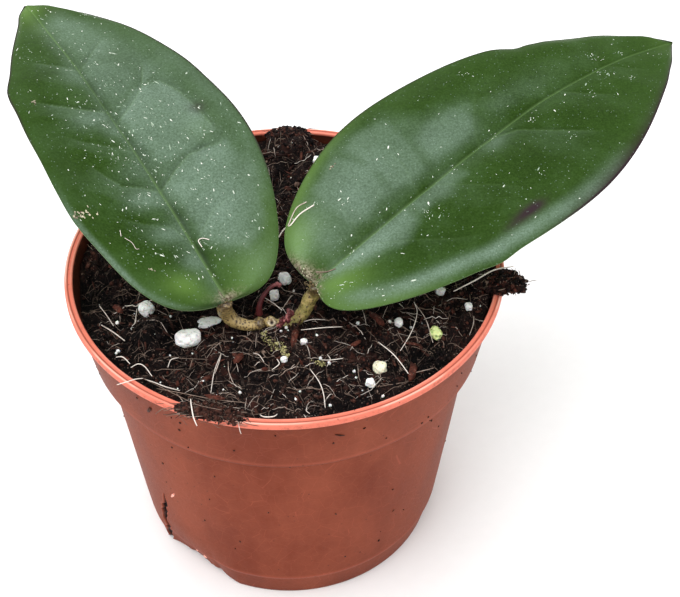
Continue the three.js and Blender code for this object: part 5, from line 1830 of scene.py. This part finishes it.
def make_scars(settings):
    """Corky scars on both leaves: lumps gathered round each scar's middle."""
    rng = np.random.default_rng(SCAR_SEED)
    middles, halves, turns = [], [], []
    for leaf, look in ((LEFT_LEAF, LEFT_LOOK), (RIGHT_LEAF, RIGHT_LOOK)):
        for t, s, count, reach_along, reach_across, size in look["scars"]:
            width = max(half_width(leaf, t, s), 3.0)
            along = np.clip(t + rng.normal(0, reach_along / leaf["length"], count), 0.003, 0.98)
            across = np.clip(s + rng.normal(0, reach_across / width, count), -0.97, 0.97)
            middle, *ways = skin_frames(leaf, look, along, across, settings, 0.05)
            middles.append(middle)
            turns.append(np.stack(ways, axis=-1))
            halves.append(size / 2 * rng.uniform(0.5, 1.2, (count, 3)) * (1, 0.8, 0.45))
    middles = np.vstack(middles)
    mesh = lumps(rng, middles, np.vstack(halves), np.vstack(turns), 0.3, 1)
    finish = cork_finish("scar_cork", paint(62, 44, 28), paint(232, 226, 194), 0.3)
    add_toned("leaf_scars", [(mesh, rng.uniform(0, 1, len(middles)))], finish)


def make_fibres(settings, mix):
    """Fibres that lie on the leaves and hang past them."""
    parts = []
    for width, tone, leaf, look, chain, beyond in LEAF_FIBRES:
        points = skin(leaf, look, *np.array(chain).T, settings, 0.12)
        line = curve_through([*beyond, *points], 24)
        parts.append((tubes(line[None], np.full((1, 24), width / 2), 6), [tone]))
    add_toned("leaf_fibres", parts, strand_finish(mix))


def left_margin(along, across):
    """Where the left leaf's margin is flushed purple: all along its right side and its upper left one."""
    return 0.9 * np.where(across > 0, smooth(0.12, 0.4, along), smooth(0.38, 0.6, along))


def right_margin(along, across):
    """Where the right leaf's margin is flushed purple: its lower side, towards the tip, and a little
    above."""
    return 0.9 * (across > 0) * smooth(0.3, 0.5, along) + 0.5 * (across <= 0) * smooth(0.05, 0.3, along)


def left_thick(along, across):
    """How thickly flecks lie on the left leaf: densest over the lower middle, thin at the tip and the left
    edge."""
    return bell(along - 0.42, 0.36) * bell(across - 0.18, 0.62) + 0.05


def right_thick(along, across):
    """How thickly flecks lie on the right leaf: even, and a little denser towards the base."""
    return 0.5 + 0.5 * bell(along - 0.3, 0.3)


# How a blade is painted: its tables, and the side of the midrib that catches the light, -1 for the left one
LEFT_LOOK = {
    "veins": LEFT_VEINS, "dimples": LEFT_DIMPLES, "bloom_and_sheen": LEFT_BLOOM_AND_SHEEN, "young": LEFT_YOUNG,
    "purple": LEFT_PURPLE, "dark": LEFT_DARK, "crust": LEFT_CRUST, "panels": LEFT_SHEEN_PANELS,
    "margin": left_margin, "thick": left_thick, "splashes": LEFT_SPLASHES, "scars": LEFT_SCARS,
    "lean": 0.0, "fleck": 0.165, "lit": -1, "vein_lit": 0.32, "seed": 51,
    "rib": ((0.0, 0.8), (0.3, 0.6), (0.55, 0.3), (0.8, 0.7), (1.0, 0.6)),
    "rib_lit": ((0.0, 0.45), (0.1, 0.55), (0.3, 0.30), (0.5, 0.25), (0.7, 0.2), (0.9, 0.0)),
    "rib_dark": ((0.0, 0.5), (0.1, 0.8), (0.6, 0.9), (0.8, 0.5), (0.9, 0.0)),
}
RIGHT_LOOK = {
    "veins": RIGHT_VEINS, "dimples": RIGHT_DIMPLES, "bloom_and_sheen": RIGHT_BLOOM_AND_SHEEN, "young": RIGHT_YOUNG,
    "purple": RIGHT_PURPLE, "dark": RIGHT_DARK, "crust": RIGHT_CRUST, "panels": RIGHT_SHEEN_PANELS,
    "margin": right_margin, "thick": right_thick, "splashes": RIGHT_SPLASHES, "scars": RIGHT_SCARS,
    "lean": 0.3, "fleck": 0.165, "lit": 1, "vein_lit": 0.14, "seed": 52,
    "rib": ((0.0, 0.6), (0.3, 0.5), (0.6, 0.55), (1.0, 0.4)),
    "rib_lit": ((0.0, 0.2), (0.12, 0.5), (0.3, 0.35), (0.4, 0.1), (1.0, 0.0)),
    "rib_dark": ((0.0, 0.3), (0.15, 0.6), (0.6, 0.5), (0.9, 0.1)),
}
# Fibres on the leaves: width, tone, the leaf and how it is painted, places on its skin, and places before
# those that are off it
LEAF_FIBRES = (
    (0.30, 1.0, RIGHT_LEAF, RIGHT_LOOK, ((0.072, -0.92), (0.094, -0.84), (0.12, -0.73)),
     ((-2.3, -3.4, 77.6), (-1.1, -1.9, 78.2), (0.1, -0.7, 79.2))),
    (0.24, 0.75, RIGHT_LEAF, RIGHT_LOOK, ((0.07, -0.96), (0.10, -0.92), (0.118, -0.83)), ()),
    (0.24, 0.35, RIGHT_LEAF, RIGHT_LOOK, ((0.018, -0.18), (0.032, -0.02), (0.048, 0.09)), ()),
    (0.20, 1.0, LEFT_LEAF, LEFT_LOOK, ((0.13, 0.07), (0.146, 0.07), (0.148, 0.12), (0.14, 0.18)), ()),
    (0.13, 0.9, LEFT_LEAF, LEFT_LOOK, ((0.216, -0.65), (0.202, -0.69)), ()),
    (0.13, 0.8, LEFT_LEAF, LEFT_LOOK, ((0.196, -0.67), (0.182, -0.64), (0.166, -0.65), (0.164, -0.62)), ()),
)


# Stage


def aimed(lamp, place, target):
    """Puts a lamp in its place, in mm, looking at a target."""
    lamp.location = Vector(place) * MM
    lamp.rotation_euler = (Vector(target) - Vector(place)).to_track_quat("-Z", "Y").to_euler()


def make_lamp(kind, name, place, target, power, **settings):
    """One soft lamp."""
    data = bpy.data.lights.new(name, kind)
    data.energy = power
    for setting, value in settings.items():
        setattr(data, setting, value)
    lamp = bpy.data.objects.new(name, data)
    bpy.context.scene.collection.objects.link(lamp)
    aimed(lamp, place, target)


def make_floor(colour):
    """A round floor: rings about the axis, facing up, and one face in the middle."""
    section = np.array([(radius * 1000, FLOOR_LEVEL) for radius in FLOOR_RINGS])
    places = rings(section, 2 * np.pi * np.arange(FLOOR_SIDES) / FLOOR_SIDES)
    quads = strip_faces(len(section), FLOOR_SIDES)[:, ::-1]
    mesh = bpy.data.meshes.new("floor")
    mesh.from_pydata((places * MM).tolist(), [], [*quads.tolist(), list(range(FLOOR_SIDES))])
    mesh.materials.append(floor_finish(colour))
    floor = bpy.data.objects.new("floor", mesh)
    bpy.context.scene.collection.objects.link(floor)


def make_sky(settings):
    """An even pale sky that grows brighter overhead."""
    world = bpy.data.worlds.new("studio")
    bpy.context.scene.world = world
    world.use_nodes = True
    nodes, links = world.node_tree.nodes, world.node_tree.links
    direction = nodes.new("ShaderNodeTexCoord")
    split = nodes.new("ShaderNodeSeparateXYZ")
    ramp = nodes.new("ShaderNodeMapRange")
    links.new(direction.outputs["Generated"], split.inputs[0])
    links.new(split.outputs["Z"], ramp.inputs[0])
    for socket, value in zip((1, 2, 3, 4), (-0.05, 0.9, settings.sky_low, settings.sky_high)):
        ramp.inputs[socket].default_value = value
    background = nodes["Background"]
    links.new(ramp.outputs[0], background.inputs["Strength"])
    background.inputs["Color"].default_value = (1.0, 1.0, 1.0, 1.0)


def make_camera(lens):
    """The camera that took the photo, as it was fitted to the pot."""
    data = bpy.data.cameras.new("view")
    data.lens = lens
    data.sensor_width = CAMERA_SENSOR
    data.sensor_fit = "HORIZONTAL"
    data.clip_start = 0.01
    camera = bpy.data.objects.new("view", data)
    camera.location = Vector(CAMERA_PLACE) * MM
    camera.rotation_euler = Euler(np.radians(CAMERA_TURN))
    bpy.context.scene.collection.objects.link(camera)
    bpy.context.scene.camera = camera


def make_stage(settings):
    """The floor, the sky, soft lamps and the camera."""
    make_floor(settings.floor_colour)
    make_sky(settings)
    make_lamp("SUN", "overhead", (-260, -260, 900), (0, 0, 60), settings.key, angle=np.radians(45))
    make_lamp("SUN", "front", (-250, -700, 600), (0, 0, 60), settings.fill, angle=np.radians(70))
    width, depth = (size * MM for size in WINDOW_SIZE)
    window = {"shape": "RECTANGLE", "size": width, "size_y": depth}
    make_lamp("AREA", "window", WINDOW_PLACE, (0, 20, 90), settings.window, **window)
    make_camera(settings.lens)
    bpy.context.scene.view_settings.view_transform = "Standard"


# Add-on


def colour_value(name, description, red, green, blue):
    """A colour that the panel shows."""
    kind = {"subtype": "COLOR", "size": 3, "min": 0.0, "max": 1.0}
    colour = paint(red, green, blue)
    return bpy.props.FloatVectorProperty(name=name, description=description, default=colour, **kind)


def count_value(name, description, default, high, low=0):
    """A whole number that the panel shows."""
    return bpy.props.IntProperty(name=name, description=description, default=default, min=low, max=high)


def number_value(name, description, default, high, low=0.0, subtype="NONE"):
    """A number that the panel shows."""
    kind = {"min": low, "max": high, "subtype": subtype}
    return bpy.props.FloatProperty(name=name, description=description, default=default, **kind)


class HoyaLeafSettings(bpy.types.PropertyGroup):
    """Sizes and colours of the leaves"""

    rows: count_value("Rows", "Rings from the base to the tip of a blade", 290, 400, 60)
    midrib_depth: number_value("Midrib", "Depth of the crease along the midrib, in mm", 0.75, 2.0)
    vein_depth: number_value("Side veins", "Depth of the side veins, in mm", 0.22, 1.0)
    quilting: number_value("Swelling", "How far the skin swells between the veins, in mm", 0.55, 2.0)
    # Strength of the painted sheen
    bloom_and_sheen_strength: number_value("Bloom_and_sheen", "Strength of the grey-green wax", 0.62, 1.5, subtype="FACTOR")
    left_flecks: count_value("Left flecks", "Flecks of lime on the left leaf", 600, 1500)
    right_flecks: count_value("Right flecks", "Flecks of lime on the right leaf", 120, 1500)
    deep: colour_value("Deep green", "The darkest parts of the skin", 38, 62, 16)
    mid: colour_value("Mid green", "The skin near the base and the margins", 60, 88, 36)
    young: colour_value("Young green", "Fresh tissue at the base and the tip", 116, 152, 74)
    # Colour of the painted sheen and of the pale specks
    bloom_and_sheen: colour_value("Bloom_and_sheen", "The wax over the skin", 130, 152, 137)
    vein: colour_value("Vein", "The midrib's pale line", 118, 150, 92)
    crust_dark: colour_value("Dark crust", "Cork at the base of a blade", 70, 56, 44)
    crust_light: colour_value("Pale crust", "Dry flakes on the cork", 168, 156, 136)
    purple: colour_value("Flush", "The purple of the margins and blotches", 50, 38, 42)
    under: colour_value("Underside", "The paler lower skin", 112, 138, 92)


class HoyaPotSettings(bpy.types.PropertyGroup):
    """Colours of the pot"""

    colour: colour_value("Plastic", "The pot's own colour", 112, 47, 26)
    # Also the colour of the painted sheen where the wall turns from the eye
    faded_and_sheen: colour_value("Faded plastic", "The dusty bloom on the plastic", 138, 70, 49)
    lip: colour_value("Lip", "The lip, where the light falls on it", 238, 130, 108)
    dirt: colour_value("Dirt", "Mix rubbed on the pot", 62, 38, 30)
    speck_count: count_value("Specks", "Scattered specks on the wall", 70, 400)


class HoyaMixSettings(bpy.types.PropertyGroup):
    """Amounts and colours of the potting mix"""

    seed: count_value("Seed", "Start of the random scatter", 5, 9999)
    rings: count_value("Rings", "Rings of ground from the wall to the middle", 150, 220, 40)
    crumb_count: count_value("Crumbs", "Loose crumbs on the ground", 8600, 9500)
    bark_count: count_value("Bark", "Bits of red bark", 230, 1000)
    strand_count: count_value("Fibres", "Fine fibres", 3000, 4000)
    root_count: count_value("Dead roots", "Longer dead roots", 60, 400)
    grit_count: count_value("Perlite dust", "Scattered specks of perlite", 60, 400)
    peat_dark: colour_value("Dark peat", "The hollows of the mix", 15, 11, 12)
    peat: colour_value("Peat", "The mix itself", 34, 24, 22)
    peat_light: colour_value("Dry peat", "Dry crumbs", 84, 52, 43)
    bark: colour_value("Bark", "Red-brown bark", 84, 44, 35)
    fibre: colour_value("Fibre", "Tan fibres", 150, 128, 114)
    root: colour_value("Root", "Pale dead roots", 240, 230, 220)
    perlite: colour_value("Perlite", "Puffed glass", 253, 253, 250)


class HoyaStemSettings(bpy.types.PropertyGroup):
    """Colours of the stem and shoots"""

    petiole: colour_value("Petiole", "The left petiole's ochre", 176, 152, 98)
    petiole_olive: colour_value("Olive petiole", "The right petiole's green", 134, 128, 66)
    cork: colour_value("Cork", "Specks and scars", 58, 40, 26)
    shoot: colour_value("Shoot", "The young shoots' maroon", 66, 24, 26)
    # Also the colour of the painted glints
    shoot_tip_and_glint: colour_value("Shoot tip", "The growing tips", 168, 104, 102)


class HoyaStageSettings(bpy.types.PropertyGroup):
    """Camera, floor and light"""

    lens: number_value("Lens", "Focal length of the camera, in mm", CAMERA_LENS, 200, 20)
    floor_colour: colour_value("Floor", "The pale floor", 250, 250, 250)
    sky_low: number_value("Sky at the horizon", "Light from the sides", 0.75, 10.0)
    sky_high: number_value("Sky overhead", "Light from above", 1.05, 10.0)
    key: number_value("Key", "Soft lamp overhead", 1.55, 20.0)
    fill: number_value("Fill", "Soft lamp in front", 0.25, 20.0)
    window: number_value("Window", "Broad lamp behind the plant, in watts", 0.8, 100.0)


class HOYA_OT_pot(bpy.types.Operator):
    """Make the pot, with its crack, its chipped foot and the dirt on its wall"""

    bl_idname = "hoya.pot"
    bl_label = "Pot"

    def execute(self, context):
        make_pot(context.scene.hoya_pot)
        make_wall_dirt(context.scene.hoya_pot, context.scene.hoya_mix)
        return {"FINISHED"}


class HOYA_OT_mix(bpy.types.Operator):
    """Make the potting mix with its crumbs, bark and fibres"""

    bl_idname = "hoya.mix"
    bl_label = "Potting mix"

    def execute(self, context):
        make_mix(context.scene.hoya_mix)
        make_crumbs(context.scene.hoya_mix)
        make_moss(context.scene.hoya_mix)
        make_strands(context.scene.hoya_mix)
        return {"FINISHED"}


class HOYA_OT_perlite(bpy.types.Operator):
    """Make the perlite grains and crumbs"""

    bl_idname = "hoya.perlite"
    bl_label = "Perlite"

    def execute(self, context):
        make_grains(context.scene.hoya_mix)
        return {"FINISHED"}


class HOYA_OT_stem(bpy.types.Operator):
    """Make the stem, the petioles, the cut stub and the young shoots"""

    bl_idname = "hoya.stem"
    bl_label = "Stem and shoots"

    def execute(self, context):
        make_stem(context.scene.hoya_stem)
        make_shoots(context.scene.hoya_stem)
        return {"FINISHED"}


class HOYA_OT_leaves(bpy.types.Operator):
    """Make both leaves with their flecks, scars and fibres"""

    bl_idname = "hoya.leaves"
    bl_label = "Leaves"

    def execute(self, context):
        settings = context.scene.hoya_leaf
        make_leaf("left", LEFT_LEAF, LEFT_LOOK, settings)
        make_leaf("right", RIGHT_LEAF, RIGHT_LOOK, settings)
        make_flecks("left", LEFT_LEAF, LEFT_LOOK, settings, settings.left_flecks)
        make_flecks("right", RIGHT_LEAF, RIGHT_LOOK, settings, settings.right_flecks)
        make_scars(settings)
        make_fibres(settings, context.scene.hoya_mix)
        return {"FINISHED"}


class HOYA_OT_stage(bpy.types.Operator):
    """Make the floor, the light and the camera"""

    bl_idname = "hoya.stage"
    bl_label = "Stage"

    def execute(self, context):
        make_stage(context.scene.hoya_stage)
        return {"FINISHED"}


class HOYA_PT_panel(bpy.types.Panel):
    """The plant's sizes, colours and making steps"""

    bl_idname = "HOYA_PT_panel"
    bl_label = "Potted hoya"
    bl_space_type = "VIEW_3D"
    bl_region_type = "UI"
    bl_category = "Hoya"

    def draw(self, context):
        for title, operators in STEPS:
            box = self.layout.box()
            settings = getattr(context.scene, title)
            for key in type(settings).__annotations__:
                box.prop(settings, key)
            for operator in operators:
                box.operator(operator.bl_idname)


STEPS = (
    ("hoya_stage", (HOYA_OT_stage,)),
    ("hoya_pot", (HOYA_OT_pot,)),
    ("hoya_mix", (HOYA_OT_mix, HOYA_OT_perlite)),
    ("hoya_stem", (HOYA_OT_stem,)),
    ("hoya_leaf", (HOYA_OT_leaves,)),
)
SETTINGS = {
    "hoya_leaf": HoyaLeafSettings,
    "hoya_pot": HoyaPotSettings,
    "hoya_mix": HoyaMixSettings,
    "hoya_stem": HoyaStemSettings,
    "hoya_stage": HoyaStageSettings,
}
CLASSES = (*SETTINGS.values(), *(kind for _, kinds in STEPS for kind in kinds), HOYA_PT_panel)


def register():
    for kind in CLASSES:
        bpy.utils.register_class(kind)
    for title, kind in SETTINGS.items():
        setattr(bpy.types.Scene, title, bpy.props.PointerProperty(type=kind))


def unregister():
    for title in SETTINGS:
        delattr(bpy.types.Scene, title)
    for kind in reversed(CLASSES):
        bpy.utils.unregister_class(kind)


def main():
    """Makes the plant and its stage."""
    register()
    bpy.ops.hoya.stage()
    bpy.ops.hoya.pot()
    bpy.ops.hoya.mix()
    bpy.ops.hoya.perlite()
    bpy.ops.hoya.stem()
    bpy.ops.hoya.leaves()


if __name__ == "__main__":
    main()
